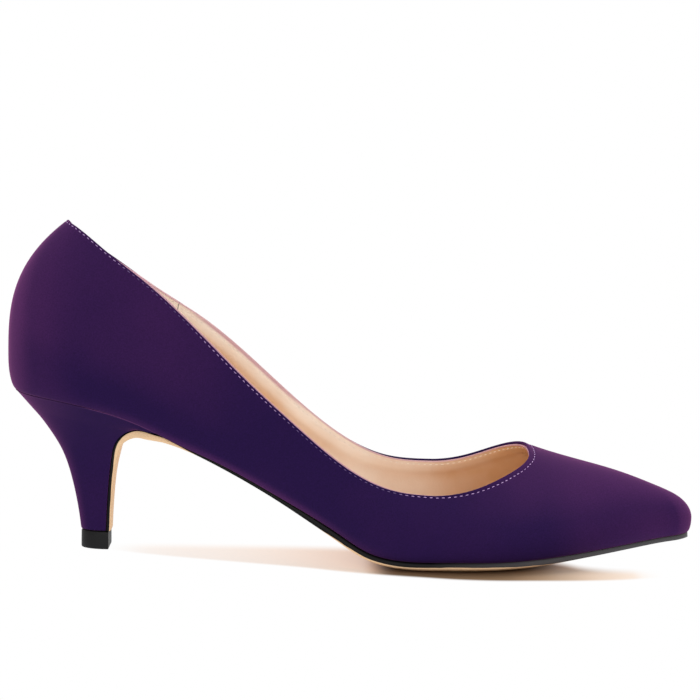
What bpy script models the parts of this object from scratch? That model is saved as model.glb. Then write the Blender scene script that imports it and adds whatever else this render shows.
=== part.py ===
"""A right pump: pointed toe, open collar, slim covered heel with the sole turned down over its front.

Sizes are in millimetres, measured from the back of the heel towards the toe, from the centre line
towards the inner (medial) side, and up from the floor. The mesh is built in metres, with +X to the
toe, +Y to the medial side and the origin on the floor under the middle of the shoe.
"""

import math
from collections import namedtuple

import bmesh
import bpy
import numpy as np

MM = 0.001

# Driving sizes of the last: its length, how far the top of the back leans in and how late it does so
LENGTH = 251.0
BACK_LEAN = 21.3
BACK_LEAN_POWER = 3.0

# The toe's rounding in side view, as depth and share of a quarter circle; both ends seen from above
TOE_ROUND = 7.8
TOE_ARC = 0.76
HEEL_RADIUS = 28.0
TOE_RADIUS = 6.0
RIDGE_ROUNDNESS = 4.0

# The upper's wall, and its curl under the foot, which tucks in less at the toe
WALL = 1.8
CURL = 3.0
CURL_ANGLE = math.radians(82)
TOE_TUCK = 0.5

# The throat: where the topline leaves the sides, where it crosses the vamp and how square it is;
# how far to the lateral side of the ridge it crosses; where the column that ends there has its foot
THROAT_START = 156.0
THROAT = 191.0
THROAT_SQUARENESS = 2.1
SEAM_LEAN = math.radians(14)
THROAT_FAN = 0.86

# Room between pieces that meet
GAP = 0.3

# The insole: its thickness, how far it keeps inside the feather line, and how much more at the ends
INSOLE_THICKNESS = 2.5
INSOLE_INSET = 1.2
INSOLE_BEVEL = 0.5
INSOLE_BACK_INSET = 4.2
INSOLE_TOE_INSET = 6.0
INSOLE_TOE_TAPER = 25.0

# The heel's seat: its front, how far round the curl it reaches at the back; how round sections are,
# and how far the sides of the top one bow up towards the seat
SEAT_FRONT = 56.4
SEAT_ANGLE = math.radians(82)
HEEL_ROUNDNESS = 2.4
HEEL_BOW = 1.0

# The heel's flare under the seat: the level where it begins, its share at the top level, and the width of
# the front edge that keeps to the sections
FLARE_START = 5.5
FLARE_TOP = 0.75
FLARE_EDGE = 0.12

# How the face of the sole's flap over the heel's front is crowned
FLAP_CROWN = 0.2
FLAP_FLATNESS = 2.0

# The top-lift the heel stands on
TOP_LIFT_HEIGHT = 6.6
TOP_LIFT_BACK = 26.7
TOP_LIFT_FRONT = 37.2
TOP_LIFT_HALF_WIDTH = 6.0

# Sections of the last: half widths on both sides at the widest line, the sole line on the lateral
# side and how much higher it is on the medial side, the height of the widest line above it, the
# ridge and how far it lies to the medial side, and the fullness (2 is an ellipse, 1 is a tent)
Section = namedtuple("Section", "x lateral medial feather twist rise ridge ridge_side fullness")
LAST = [
    Section(0, 27.0, 27.0, 59.1, 0.0, 12.0, 133.5, 0.0, 2.00),
    Section(15, 27.3, 27.3, 58.1, 0.0, 10.0, 124.5, 0.0, 2.00),
    Section(30, 27.5, 27.3, 55.5, 0.0, 8.5, 116.5, 0.0, 2.00),
    Section(50, 27.6, 26.8, 48.9, 0.4, 7.5, 106.5, 1.0, 2.00),
    Section(62, 27.5, 26.2, 43.1, 1.3, 7.2, 101.3, 1.7, 2.00),
    Section(75, 27.4, 25.6, 37.3, 2.4, 7.0, 94.5, 2.5, 2.00),
    Section(100, 28.4, 25.4, 24.2, 3.4, 7.0, 74.5, 5.0, 1.95),
    Section(122, 32.6, 28.8, 12.0, 2.0, 7.0, 57.5, 8.0, 1.85),
    Section(131, 35.2, 31.7, 6.9, 1.1, 6.9, 53.0, 9.1, 1.80),
    Section(140, 37.6, 34.6, 4.5, 0.4, 6.8, 50.0, 10.0, 1.75),
    Section(160, 39.5, 38.6, 4.0, 0.0, 6.6, 46.5, 11.5, 1.65),
    Section(175, 38.6, 39.3, 4.0, 0.0, 6.5, 43.9, 11.5, 1.60),
    Section(190, 34.8, 36.0, 4.2, 0.0, 6.4, 39.5, 10.5, 1.60),
    Section(210, 27.0, 28.2, 5.7, 0.0, 6.0, 34.8, 7.0, 1.70),
    Section(230, 17.5, 18.4, 7.8, 0.0, 5.5, 30.6, 3.2, 1.90),
    Section(242, 11.0, 11.4, 8.9, 0.0, 5.2, 27.1, 1.0, 2.00),
    Section(251, 7.4, 7.4, 9.5, 0.0, 5.2, 24.0, 0.0, 2.00),
]

# Height of the topline on both sides, from the top of the back to the start of the throat
Topline = namedtuple("Topline", "x lateral medial")
TOPLINE = [
    Topline(21.3, 121.2, 121.2),
    Topline(23, 120.7, 117.9),
    Topline(27, 118.7, 113.2),
    Topline(36, 112.3, 106.0),
    Topline(52, 100.4, 94.1),
    Topline(70, 84.3, 82.5),
    Topline(88, 66.8, 67.4),
    Topline(105, 51.5, 51.9),
    Topline(122, 37.9, 38.7),
    Topline(138, 29.8, 31.1),
    Topline(156, 27.4, 29.1),
]

# The sole under the upper: how far it stands out past the feather line, its edge, how much the
# underside crowns below that edge, and the power that makes the crown flat (2 is round)
Sole = namedtuple("Sole", "x margin edge crown flatness")
SOLE = [
    Sole(56, -0.5, 2.2, 1.1, 2.0),
    Sole(63, -0.9, 1.1, 1.9, 2.0),
    Sole(75, -1.4, 1.2, 1.5, 2.0),
    Sole(100, -1.2, 1.7, 1.1, 2.4),
    Sole(114, -0.5, 2.4, 0.9, 3.0),
    Sole(125, 0.3, 2.5, 1.1, 5.0),
    Sole(145, 0.8, 2.4, 1.5, 12.0),
    Sole(165, 0.9, 2.3, 1.6, 16.0),
    Sole(190, 0.9, 2.1, 1.3, 13.0),
    Sole(225, 0.6, 1.7, 0.5, 5.0),
    Sole(251, 0.4, 1.8, 0.3, 4.0),
]

# Sections of the heel from the tip up: its back, its front, half its width, and the thickness of
# the sole's flap over its front
HeelSection = namedtuple("HeelSection", "level back back_z front front_z half_width flap")
HEEL = [
    HeelSection(0, 26.6, 6.9, 36.1, 6.9, 5.6, 1.6),
    HeelSection(1, 25.4, 15.3, 36.5, 15.7, 5.9, 1.6),
    HeelSection(2, 23.1, 26.0, 37.35, 26.5, 7.2, 1.6),
    HeelSection(3, 19.9, 35.5, 38.35, 34.0, 9.6, 1.9),
    HeelSection(4, 15.7, 42.8, 39.9, 40.3, 13.2, 2.3),
    HeelSection(5, 11.1, 49.1, 43.5, 45.0, 17.4, 2.7),
    HeelSection(6, 6.9, 53.7, 48.4, 47.4, 21.2, 2.9),
    HeelSection(7, 4.5, 56.5, 52.8, 47.1, 23.8, 2.7),
]

# Shading breaks at edges sharper than this, and points closer than this are one, in metres
SHARP_EDGE = math.radians(40)
MERGE = 1e-6

# How finely each surface is divided
HEEL_STATIONS = 8
SIDE_STATIONS = 17
THROAT_STATIONS = 12
VAMP_STATIONS = 6
TOE_STATIONS = 7
CURL_ROWS = 4
WALL_ROWS = 10
HEEL_STEPS = 12
HEEL_LEVELS_PER_ROW = 2
SOLE_ACROSS = (-1.0, -0.93, -0.8, -0.5, 0.0, 0.5, 0.8, 0.93, 1.0)

Stop = namedtuple("Stop", "ends clear edge crown flatness")


def spline(rows, column):
    """A natural cubic through one column of a table, as a function of the table's first column."""
    at = np.array([row[0] for row in rows], float)
    value = np.array([getattr(row, column) for row in rows], float)
    step = np.diff(at)
    count = len(rows)
    system = np.eye(count)
    right = np.zeros(count)
    for i in range(1, count - 1):
        system[i, i - 1:i + 2] = step[i - 1], 2 * (step[i - 1] + step[i]), step[i]
        right[i] = 6 * ((value[i + 1] - value[i]) / step[i] - (value[i] - value[i - 1]) / step[i - 1])
    bend = np.linalg.solve(system, right)

    def curve(x):
        i = int(np.clip(np.searchsorted(at, x) - 1, 0, count - 2))
        before, after, h = x - at[i], at[i + 1] - x, step[i]
        cubic = (bend[i] * after ** 3 + bend[i + 1] * before ** 3) / (6 * h)
        start = (value[i] / h - bend[i] * h / 6) * after
        end = (value[i + 1] / h - bend[i + 1] * h / 6) * before
        return float(cubic + start + end)

    return curve


def splines(rows):
    """Every column of a table but the first, as curves by name."""
    return {column: spline(rows, column) for column in rows[0]._fields[1:]}


last = splines(LAST)
topline = splines(TOPLINE)
sole = splines(SOLE)
heel = splines(HEEL)


def end_round(x):
    """How far the plan has opened out at x: 0 at both ends of the last, 1 along its middle."""
    heel_part = max(0.0, 1 - x / HEEL_RADIUS)
    toe_part = max(0.0, 1 - (LENGTH - x) / TOE_RADIUS)
    return math.sqrt(max(0.0, (1 - heel_part ** 2) * (1 - toe_part ** 2)))


def feather_height(side, x):
    """Height of the line where the upper meets the sole; side is -1 lateral, 1 medial."""
    return last["feather"](x) + (last["twist"](x) if side > 0 else 0.0)


def half_width(side, x):
    return last["medial" if side > 0 else "lateral"](x) * end_round(x)


def top_share(x):
    """The station whose top edge lies at x."""
    return (x - BACK_LEAN) / (LENGTH - TOE_ROUND - BACK_LEAN)


def seam_angle(side, share):
    """Where the two sides meet on the vamp, as an angle of the section: short of the ridge on the
    lateral side, past it on the medial side, on it at the toe."""
    lean = SEAM_LEAN * min(1.0, (1 - share) / (1 - top_share(THROAT)))
    return math.pi / 2 + side * lean


def topline_angle(side, share):
    """How far up its section the upper goes at a station, as the section's own angle."""
    x = share * LENGTH
    top_x = BACK_LEAN + (LENGTH - TOE_ROUND - BACK_LEAN) * share
    seam = seam_angle(side, share)
    if top_x >= THROAT:
        return seam
    widest = feather_height(side, x) + last["rise"](x)
    reach = last["ridge"](x) - widest
    height = topline["medial" if side > 0 else "lateral"](min(top_x, THROAT_START)) - widest
    side_angle = math.asin((height / reach) ** (last["fullness"](x) / 2))
    if top_x <= THROAT_START:
        return side_angle
    way = (top_x - THROAT_START) / (THROAT - THROAT_START)
    open_share = (1 - way ** THROAT_SQUARENESS) ** (1 / THROAT_SQUARENESS)
    return seam - (seam - side_angle) * open_share


def curl_run(tuck):
    """The length of the curl where it is tucked in this far."""
    return LENGTH - tuck * (1 + TOE_TUCK)


def curl_point(side, share, angle):
    """A point of the curl between the widest line (angle 0) and the feather line below it."""
    x = share * LENGTH
    tuck = CURL * (1 - math.cos(angle))
    rise = last["rise"](x)
    y = side * (half_width(side, x) - tuck * end_round(x))
    z = feather_height(side, x) + rise * (1 - math.sin(angle))
    return tuck + curl_run(tuck) * share, y, z


def feather_share(x):
    """The station whose feather point lies at x."""
    tuck = CURL * (1 - math.cos(CURL_ANGLE))
    return (x - tuck) / curl_run(tuck)


def arc_depth(part):
    """How far a circle of radius 1 has fallen back at a height above its middle."""
    return 1 - math.sqrt(1 - part ** 2)


def wall_point(side, column, up):
    """A point of the wall, from the widest line (up 0) to the topline or the seam (up 1)."""
    foot, top = column
    share = foot + (top - foot) * up
    x = share * LENGTH
    top_angle = topline_angle(side, top)
    angle = up * top_angle
    power = 2 / last["fullness"](x)
    ridge_y = last["ridge_side"](x)
    lean_side = side if math.cos(angle) >= 0 else -side
    widest_y = lean_side * half_width(lean_side, x)
    widest_z = feather_height(side, x) + last["rise"](x)
    rounded = 1 + (power - 1) * (1 - math.sin(angle) ** RIDGE_ROUNDNESS)
    y = ridge_y + (widest_y - ridge_y) * abs(math.cos(angle)) ** rounded
    z = widest_z + (last["ridge"](x) - widest_z) * math.sin(angle) ** power
    climbed = (math.sin(angle) / math.sin(top_angle)) ** power
    back = BACK_LEAN * climbed ** BACK_LEAN_POWER
    toe = LENGTH - TOE_ROUND * arc_depth(TOE_ARC * climbed) / arc_depth(TOE_ARC)
    return back + (toe - back) * share, y, z


def columns():
    """Shares of the length at the foot and at the top of each column of the upper. They stand upright
    along the sides, and fan out round the throat so that they meet its edge squarely."""
    heel_end = HEEL_RADIUS / LENGTH
    throat_start = top_share(THROAT_START)
    throat = top_share(THROAT)
    toe_start = 1 - TOE_RADIUS / LENGTH
    quarter = math.pi / 2
    found = [heel_end * (1 - math.cos(quarter * i / HEEL_STATIONS)) for i in range(HEEL_STATIONS)]
    found += list(np.linspace(heel_end, throat_start, SIDE_STATIONS, endpoint=False))
    found = [(share, share) for share in found]
    for i in range(THROAT_STATIONS):
        way = math.sin(quarter * i / THROAT_STATIONS) ** (2 / THROAT_SQUARENESS)
        foot = throat_start + (THROAT_FAN - throat_start) * i / THROAT_STATIONS
        found.append((foot, throat_start + (throat - throat_start) * way))
    for i in range(VAMP_STATIONS):
        foot = THROAT_FAN + (toe_start - THROAT_FAN) * i / VAMP_STATIONS
        found.append((foot, throat + (toe_start - throat) * i / VAMP_STATIONS))
    for i in range(TOE_STATIONS + 1):
        share = toe_start + (1 - toe_start) * math.sin(quarter * i / TOE_STATIONS)
        found.append((share, share))
    return found


def stations():
    """Shares of the length for pieces that follow the upper's foot."""
    return [foot for foot, _ in columns()]


def placed(point):
    """A point in metres, with the origin under the middle of the shoe."""
    x, y, z = point
    return (x - LENGTH / 2) * MM, y * MM, z * MM


def mesh_object(name, bm, material, collection):
    """Finishes a mesh as a smooth shaded object with its material."""
    bmesh.ops.remove_doubles(bm, verts=bm.verts, dist=MERGE)
    mesh = bpy.data.meshes.new(name)
    bm.to_mesh(mesh)
    bm.free()
    mesh.materials.append(material)
    mesh.shade_smooth()
    mesh.set_sharp_from_angle(angle=SHARP_EDGE)
    made = bpy.data.objects.new(name, mesh)
    collection.objects.link(made)
    return made


def loft(name, rings, material, collection):
    """A closed skin over rings of equal length, each end closed by strips from side to side."""
    bm = bmesh.new()
    grid = [[bm.verts.new(placed(point)) for point in ring] for ring in rings]
    count = len(rings[0])
    for low, high in zip(grid, grid[1:]):
        for i in range(count):
            after = (i + 1) % count
            bm.faces.new((low[i], low[after], high[after], high[i]))
    for ring in (grid[0], grid[-1]):
        for i in range(count // 2 - 1):
            bm.faces.new((ring[i], ring[i + 1], ring[-2 - i], ring[-1 - i]))
    bmesh.ops.remove_doubles(bm, verts=bm.verts, dist=MERGE)
    bmesh.ops.recalc_face_normals(bm, faces=bm.faces)
    return mesh_object(name, bm, material, collection)


def make_upper(material, collection):
    """The lasted upper: an open skin from the curl under the foot to the topline, given its wall."""
    bm = bmesh.new()
    for side in (-1, 1):
        grid = []
        for column in columns():
            turns = [CURL_ANGLE * (1 - i / CURL_ROWS) for i in range(CURL_ROWS)]
            points = [curl_point(side, column[0], turn) for turn in turns]
            points += [wall_point(side, column, i / WALL_ROWS) for i in range(WALL_ROWS + 1)]
            grid.append([bm.verts.new(placed(point)) for point in points])
        for near, far in zip(grid, grid[1:]):
            for row in range(CURL_ROWS + WALL_ROWS):
                corners = [near[row], far[row], far[row + 1], near[row + 1]]
                bm.faces.new(corners if side < 0 else corners[::-1])
    upper = mesh_object("upper", bm, material, collection)
    shell = upper.modifiers.new("wall", "SOLIDIFY")
    shell.thickness = WALL * MM
    shell.offset = -1
    shell.use_even_offset = True
    shell.use_quality_normals = True
    return upper


def across(x_share, inset, drop):
    """The two feather points at a station, moved in by inset and down by drop."""
    found = []
    for side in (-1, 1):
        x, y, z = curl_point(side, x_share, CURL_ANGLE)
        found.append((x, y - side * inset * end_round(x_share * LENGTH), z - drop))
    return found


def between(ends, share):
    """A point between two, share running from -1 to 1."""
    return tuple(a + (b - a) * (share + 1) / 2 for a, b in zip(*ends))


def make_insole(material, collection):
    """The board and its sock, with a bevelled side that follows the wall."""
    rings = []
    for share in stations():
        low = across(share, INSOLE_INSET + INSOLE_BEVEL, -GAP)
        high = across(share, INSOLE_INSET, -GAP - INSOLE_THICKNESS)
        ring = [between(high, j) for j in SOLE_ACROSS] + [between(low, -j) for j in SOLE_ACROSS]
        x = ring[0][0]
        x += INSOLE_BACK_INSET * max(0.0, 1 - x / HEEL_RADIUS)
        x -= INSOLE_TOE_INSET * max(0.0, 1 - (LENGTH - x) / INSOLE_TOE_TAPER)
        here = between(across(feather_share(x), 0.0, 0.0), 0)
        slide = here[2] - between(across(share, 0.0, 0.0), 0)[2]
        rings.append([(x, y, z + slide) for _, y, z in ring])
    return loft("insole", rings[1:-1], material, collection)


def heel_levels():
    """Levels of the heel's sections from the tip up, as steps between the rows of its table."""
    top = HEEL[-1].level
    return np.linspace(0, top, top * HEEL_LEVELS_PER_ROW + 1)


def sole_stops():
    """Where the sole is cut: from the toe to the heel's seat, then down the front of the heel. Each
    stop has the ends of its top edge, how far it stands clear of them, and its own thickness."""
    found = []
    for share in reversed(stations()[1:-1]):
        x = share * LENGTH
        if x > SEAT_FRONT:
            ends = across(share, -sole["margin"](x), GAP)
            found.append(Stop(ends, 0.0, sole["edge"](x), sole["crown"](x), sole["flatness"](x)))
    for level in reversed(heel_levels()):
        x, z, half = heel["front"](level), heel["front_z"](level), heel["half_width"](level)
        ends = ((x, -half, z), (x, half, z))
        found.append(Stop(ends, GAP, heel["flap"](level), FLAP_CROWN, FLAP_FLATNESS))
    return found


def make_outsole(material, collection):
    """The sole: toe, forefoot with its flat tread, arch, and the flap down the front of the heel."""
    stops = sole_stops()
    middle = [between(stop.ends, 0) for stop in stops]
    rings = []
    for i, stop in enumerate(stops):
        before = middle[max(i - 1, 0)]
        after = middle[min(i + 1, len(middle) - 1)]
        run_x, run_z = after[0] - before[0], after[2] - before[2]
        run = math.hypot(run_x, run_z)
        out_x, out_z = -run_z / run, run_x / run
        top, bottom = [], []
        for j in SOLE_ACROSS:
            x, y, z = between(stop.ends, j)
            deep = stop.clear + stop.edge + stop.crown * (1 - abs(j) ** stop.flatness)
            top.append((x + out_x * stop.clear, y, z + out_z * stop.clear))
            bottom.append((x + out_x * deep, y, max(0.0, z + out_z * deep)))
        rings.append(top + bottom[::-1])
    return loft("outsole", rings, material, collection)


def heel_steps():
    """How far back the points of a heel section lie along one side: 0 at its front, 1 at its back."""
    return [math.sin(math.pi / 2 * i / HEEL_STEPS) for i in range(HEEL_STEPS + 1)]


def heel_outline(front, back, half):
    """A section from its lateral front round the back to its medial front: x, y and how far back."""
    found = []
    for side in (-1, 1):
        found += [
            (front + (back - front) * u, side * half * math.sqrt(1 - u ** HEEL_ROUNDNESS), u)
            for u in heel_steps()[::-side]
        ]
    return found


def heel_ring(level):
    """One section of the heel, sloping from its front to its back and bowed up between them."""
    front_z, back_z = heel["front_z"](level), heel["back_z"](level)
    outline = heel_outline(heel["front"](level), heel["back"](level), heel["half_width"](level))
    bow = HEEL_BOW * (level / HEEL[-1].level) ** 2
    return [(x, y, front_z + (back_z - front_z) * u + bow * 4 * u * (1 - u)) for x, y, u in outline]


def seat_ring():
    """The heel's seat, along the feather line; at the back it comes a little way out round the curl."""
    found = []
    for side in (-1, 1):
        for u in heel_steps()[::-side]:
            angle = SEAT_ANGLE * u + math.pi / 2 * (1 - u)
            tuck = CURL * (1 - math.cos(angle))
            x = SEAT_FRONT + (tuck - SEAT_FRONT) * u
            share = (x - tuck) / curl_run(tuck)
            y = curl_point(side, share, angle)[1]
            found.append((x, y, feather_height(side, share * LENGTH) - GAP))
    return found


def flared_ring(level):
    """A section of the heel; the upper ones are drawn out straight towards the seat behind their front edge."""
    ring = heel_ring(level)
    if level <= FLARE_START:
        return ring
    way = FLARE_TOP * (level - FLARE_START) / (HEEL[-1].level - FLARE_START)
    back = heel_steps() + heel_steps()[::-1]
    found = []
    for kept, foot, seat, u in zip(ring, heel_ring(FLARE_START), seat_ring(), back):
        drawn = min(1.0, u / FLARE_EDGE)
        found.append(tuple(k + (f + (s - f) * way - k) * drawn for k, f, s in zip(kept, foot, seat)))
    return found


def make_heel(material, collection):
    """The heel block: sections from the tip up to the curved seat under the upper."""
    rings = [flared_ring(level) for level in heel_levels()] + [seat_ring()]
    return loft("heel", rings, material, collection)


def make_top_lift(material, collection):
    """The hard tip: rounded at the back, straight at the front where the sole comes down to it."""
    outline = heel_outline(TOP_LIFT_FRONT, TOP_LIFT_BACK, TOP_LIFT_HALF_WIDTH)
    rings = [[(x, y, z) for x, y, _ in outline] for z in (0.0, TOP_LIFT_HEIGHT)]
    return loft("top_lift", rings, material, collection)


def finish(name, colour, roughness, metallic=0.0):
    """A plain finish: linear colour, roughness and metallic value."""
    material = bpy.data.materials.new(name)
    material.use_nodes = True
    shader = material.node_tree.nodes["Principled BSDF"]
    shader.inputs["Base Color"].default_value = (*colour, 1.0)
    shader.inputs["Roughness"].default_value = roughness
    shader.inputs["Metallic"].default_value = metallic
    return material


def main():
    for item in list(bpy.data.objects):
        bpy.data.objects.remove(item)
    parts = bpy.data.collections.new("pointed_pump")
    bpy.context.scene.collection.children.link(parts)
    purple = finish("purple_nubuck", (0.026, 0.010, 0.070), 0.75)
    make_upper(purple, parts)
    make_insole(finish("cream_sock", (0.80, 0.62, 0.42), 0.6), parts)
    make_outsole(finish("beige_sole", (0.72, 0.50, 0.30), 0.5), parts)
    make_heel(purple, parts)
    make_top_lift(finish("black_tip", (0.025, 0.025, 0.025), 0.45), parts)


main()
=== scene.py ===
"""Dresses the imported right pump: nubuck over a cream lining, sewn topline, covered heel and painted sole.

Sizes in the tables are millimetres, measured from the back of the heel towards the toe, from the centre
line towards the inner (medial) side, and up from the floor, as in the part's source. Meshes are built
in metres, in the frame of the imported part.
"""

import functools
import math
from collections import namedtuple

import bmesh
import bpy
import numpy as np
from mathutils import Matrix, Vector
from mathutils.bvhtree import BVHTree
from mathutils.kdtree import KDTree


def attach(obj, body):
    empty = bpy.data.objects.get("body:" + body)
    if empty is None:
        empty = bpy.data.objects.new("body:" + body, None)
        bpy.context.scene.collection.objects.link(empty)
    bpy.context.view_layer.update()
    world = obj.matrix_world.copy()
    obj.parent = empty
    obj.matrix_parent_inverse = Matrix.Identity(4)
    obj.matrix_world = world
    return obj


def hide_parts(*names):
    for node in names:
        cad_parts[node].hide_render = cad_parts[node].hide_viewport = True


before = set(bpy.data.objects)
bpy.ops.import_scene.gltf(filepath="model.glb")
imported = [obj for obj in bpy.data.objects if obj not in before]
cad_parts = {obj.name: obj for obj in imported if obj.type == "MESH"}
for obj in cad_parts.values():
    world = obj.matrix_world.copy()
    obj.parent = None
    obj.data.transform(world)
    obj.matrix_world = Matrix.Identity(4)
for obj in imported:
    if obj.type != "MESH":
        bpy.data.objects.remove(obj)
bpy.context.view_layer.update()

bl_info = {
    "name": "Pointed pump",
    "version": (1, 0, 0),
    "blender": (4, 5, 0),
    "location": "3D View > Sidebar > Pump",
    "description": "Makes the visible pieces of a nubuck pump round its packed solids",
    "category": "Object",
}

MM = 0.001
BODY = "root"
QUARTER = math.pi / 2

# How far the sewn edge stands above the line where it begins to turn over; the topline is that much lower
EDGE_RISE = 0.5

# The last: its length, the lean of the back, the rounding of the toe and of both ends in plan
LENGTH = 251.0
BACK_LEAN = 21.3
BACK_LEAN_POWER = 3.0
TOE_ROUND = 7.8
TOE_ARC = 0.76
HEEL_RADIUS = 28.0
TOE_RADIUS = 6.0
RIDGE_ROUNDNESS = 4.0
CURL = 3.0
CURL_ANGLE = math.radians(82)
TOE_TUCK = 0.5

# The throat of the topline, and how the columns of the skin fan out round it
THROAT_START = 156.0
THROAT = 191.0 + EDGE_RISE
THROAT_SQUARENESS = 2.1
SEAM_LEAN = math.radians(14)
THROAT_FAN = 0.86

# Room between pieces that meet
GAP = 0.05

# Sections of the last: half widths, the sole line and its twist, the height of the widest line above it,
# the ridge and how far it lies to the medial side, and the fullness
Section = namedtuple("Section", "x lateral medial feather twist rise ridge ridge_side fullness")
LAST = [
    Section(0, 27.0, 27.0, 59.1, 0.0, 12.0, 133.5, 0.0, 2.00),
    Section(15, 27.3, 27.3, 58.1, 0.0, 10.0, 124.5, 0.0, 2.00),
    Section(30, 27.5, 27.3, 55.5, 0.0, 8.5, 116.5, 0.0, 2.00),
    Section(50, 27.6, 26.8, 48.9, 0.4, 7.5, 106.5, 1.0, 2.00),
    Section(62, 27.5, 26.2, 43.1, 1.3, 7.2, 101.3, 1.7, 2.00),
    Section(75, 27.4, 25.6, 37.3, 2.4, 7.0, 94.5, 2.5, 2.00),
    Section(100, 28.4, 25.4, 24.2, 3.4, 7.0, 74.5, 5.0, 1.95),
    Section(122, 32.6, 28.8, 12.0, 2.0, 7.0, 57.5, 8.0, 1.85),
    Section(131, 35.2, 31.7, 6.9, 1.1, 6.9, 53.0, 9.1, 1.80),
    Section(140, 37.6, 34.6, 4.5, 0.4, 6.8, 50.0, 10.0, 1.75),
    Section(160, 39.5, 38.6, 4.0, 0.0, 6.6, 46.5, 11.5, 1.65),
    Section(175, 38.6, 39.3, 4.0, 0.0, 6.5, 43.9, 11.5, 1.60),
    Section(190, 34.8, 36.0, 4.2, 0.0, 6.4, 39.5, 10.5, 1.60),
    Section(210, 27.0, 28.2, 5.7, 0.0, 6.0, 34.8, 7.0, 1.70),
    Section(230, 17.5, 18.4, 7.8, 0.0, 5.5, 30.6, 3.2, 1.90),
    Section(242, 11.0, 11.4, 8.9, 0.0, 5.2, 27.1, 1.0, 2.00),
    Section(251, 7.4, 7.4, 9.5, 0.0, 5.2, 24.0, 0.0, 2.00),
]

# Height of the topline on both sides, from the top of the back to the start of the throat
Topline = namedtuple("Topline", "x lateral medial")
TOPLINE = [
    Topline(21.3, 121.2, 121.2),
    Topline(23, 120.7, 117.9),
    Topline(27, 118.7, 113.2),
    Topline(36, 112.3, 106.0),
    Topline(52, 100.4, 94.1),
    Topline(70, 84.3, 82.5),
    Topline(88, 66.8, 67.4),
    Topline(105, 51.5, 51.9),
    Topline(122, 37.9, 38.7),
    Topline(138, 29.8, 31.1),
    Topline(156, 27.4, 29.1),
]

# The sole: how far it stands out past the feather line, its edge, the crown of its underside and how flat
# that is, and how far down from its top the edge is painted
Sole = namedtuple("Sole", "x margin edge crown flatness paint")
SOLE = [
    Sole(56, -0.5, 2.2, 1.1, 2.0, 0.5),
    Sole(63, -0.9, 1.1, 1.9, 2.0, 0.6),
    Sole(75, -1.4, 1.2, 1.5, 2.0, 1.6),
    Sole(100, -1.2, 1.7, 1.1, 2.4, 2.4),
    Sole(114, -0.5, 2.4, 0.9, 3.0, 2.9),
    Sole(125, 0.3, 2.5, 1.1, 5.0, 2.4),
    Sole(145, 0.8, 2.4, 1.5, 12.0, 2.2),
    Sole(165, 0.9, 2.3, 1.6, 16.0, 1.8),
    Sole(190, 0.9, 2.1, 1.3, 13.0, 2.1),
    Sole(225, 0.6, 1.7, 0.5, 5.0, 2.7),
    Sole(251, 0.4, 1.8, 0.3, 4.0, 3.0),
]

# The sole's own sections begin this far in front of the heel's seat; how its flap down the heel is crowned
SOLE_BEFORE_SEAT = 1.0
FLAP_CROWN = 0.2
FLAP_FLATNESS = 2.0

# Section of the sole's trimmed edge from its top down: how far it keeps in, and its share of the depth
EDGE_PROFILE = [
    (0.8, 0.0), (0.45, 0.07), (0.18, 0.2), (0.04, 0.4), (0.0, 0.6), (0.0, 0.82), (0.1, 0.95), (0.3, 1.0)]
EDGE_FULL_DEPTH = 2.2
# The edge paint ends in a line that wavers and is soft by this much, and a painted reflection greys it from
# here to here towards the toe, from the middle of the shoe
PAINT_WAVER = 0.25
PAINT_SOFT = 0.06
PAINT_REFLECTION = (30.0, 65.0)

# Sections of the heel from the tip up: its back, its front, half its width, the thickness of the sole's
# flap over its front, and how far down the flap's edge is painted
HeelSection = namedtuple("HeelSection", "level back back_z front front_z half_width flap paint")
HEEL = [
    HeelSection(0, 26.6, 6.9, 36.1, 6.9, 5.6, 1.6, 1.5),
    HeelSection(1, 25.4, 15.3, 36.5, 15.7, 5.9, 1.6, 1.5),
    HeelSection(2, 23.1, 26.0, 37.35, 26.5, 7.2, 1.6, 1.5),
    HeelSection(3, 19.9, 35.5, 38.35, 34.0, 9.6, 1.9, 1.5),
    HeelSection(4, 15.7, 42.8, 39.9, 40.3, 13.2, 2.3, 1.3),
    HeelSection(5, 11.1, 49.1, 43.5, 45.0, 17.4, 2.7, 1.1),
    HeelSection(6, 6.9, 53.7, 48.4, 47.4, 21.2, 2.9, 0.8),
    HeelSection(7, 4.5, 56.5, 52.8, 47.1, 23.8, 2.7, 0.6),
]
SEAT_FRONT = 56.4
SEAT_ANGLE = math.radians(82)
HEEL_ROUNDNESS = 2.4
HEEL_BOW = 1.0

# The heel's flare under the seat: the level where it begins, its share at the top level, and the width of
# the front edge that keeps to the sections
FLARE_START = 5.5
FLARE_TOP = 0.75
FLARE_EDGE = 0.12

# Rings between the heel's top section and its seat: share of the way, and how far they stand out
SEAT_ROLL = [(0.2, 0.0), (0.4, 0.0), (0.6, 0.02), (0.78, 0.08), (0.88, 0.14), (0.95, 0.1), (1.0, -0.25)]
# A painted highlight lightens the roll along this part of it: where that begins and is full, and which of its
# rings
HIGHLIGHT_FROM = 28.0
HIGHLIGHT_FULL = 34.0
HIGHLIGHT_RINGS = (4, 5)
# The fold of the cover at the heel's tip: height above the lowest section, and how far it keeps in
TIP_FOLD = [(0.0, 0.3), (0.12, 0.08), (0.35, 0.0)]

# The top-lift, with its outline and the rings of its rounded edges: height and how far they keep in
TOP_LIFT_BACK = 26.7
TOP_LIFT_FRONT = 37.2
TOP_LIFT_HALF_WIDTH = 6.0
TOP_LIFT_RINGS = [
    (0.0, 0.35), (0.1, 0.12), (0.35, 0.0), (2.4, 0.0), (4.6, 0.02), (6.1, 0.05), (6.45, 0.18), (6.6, 0.5)]

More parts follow.
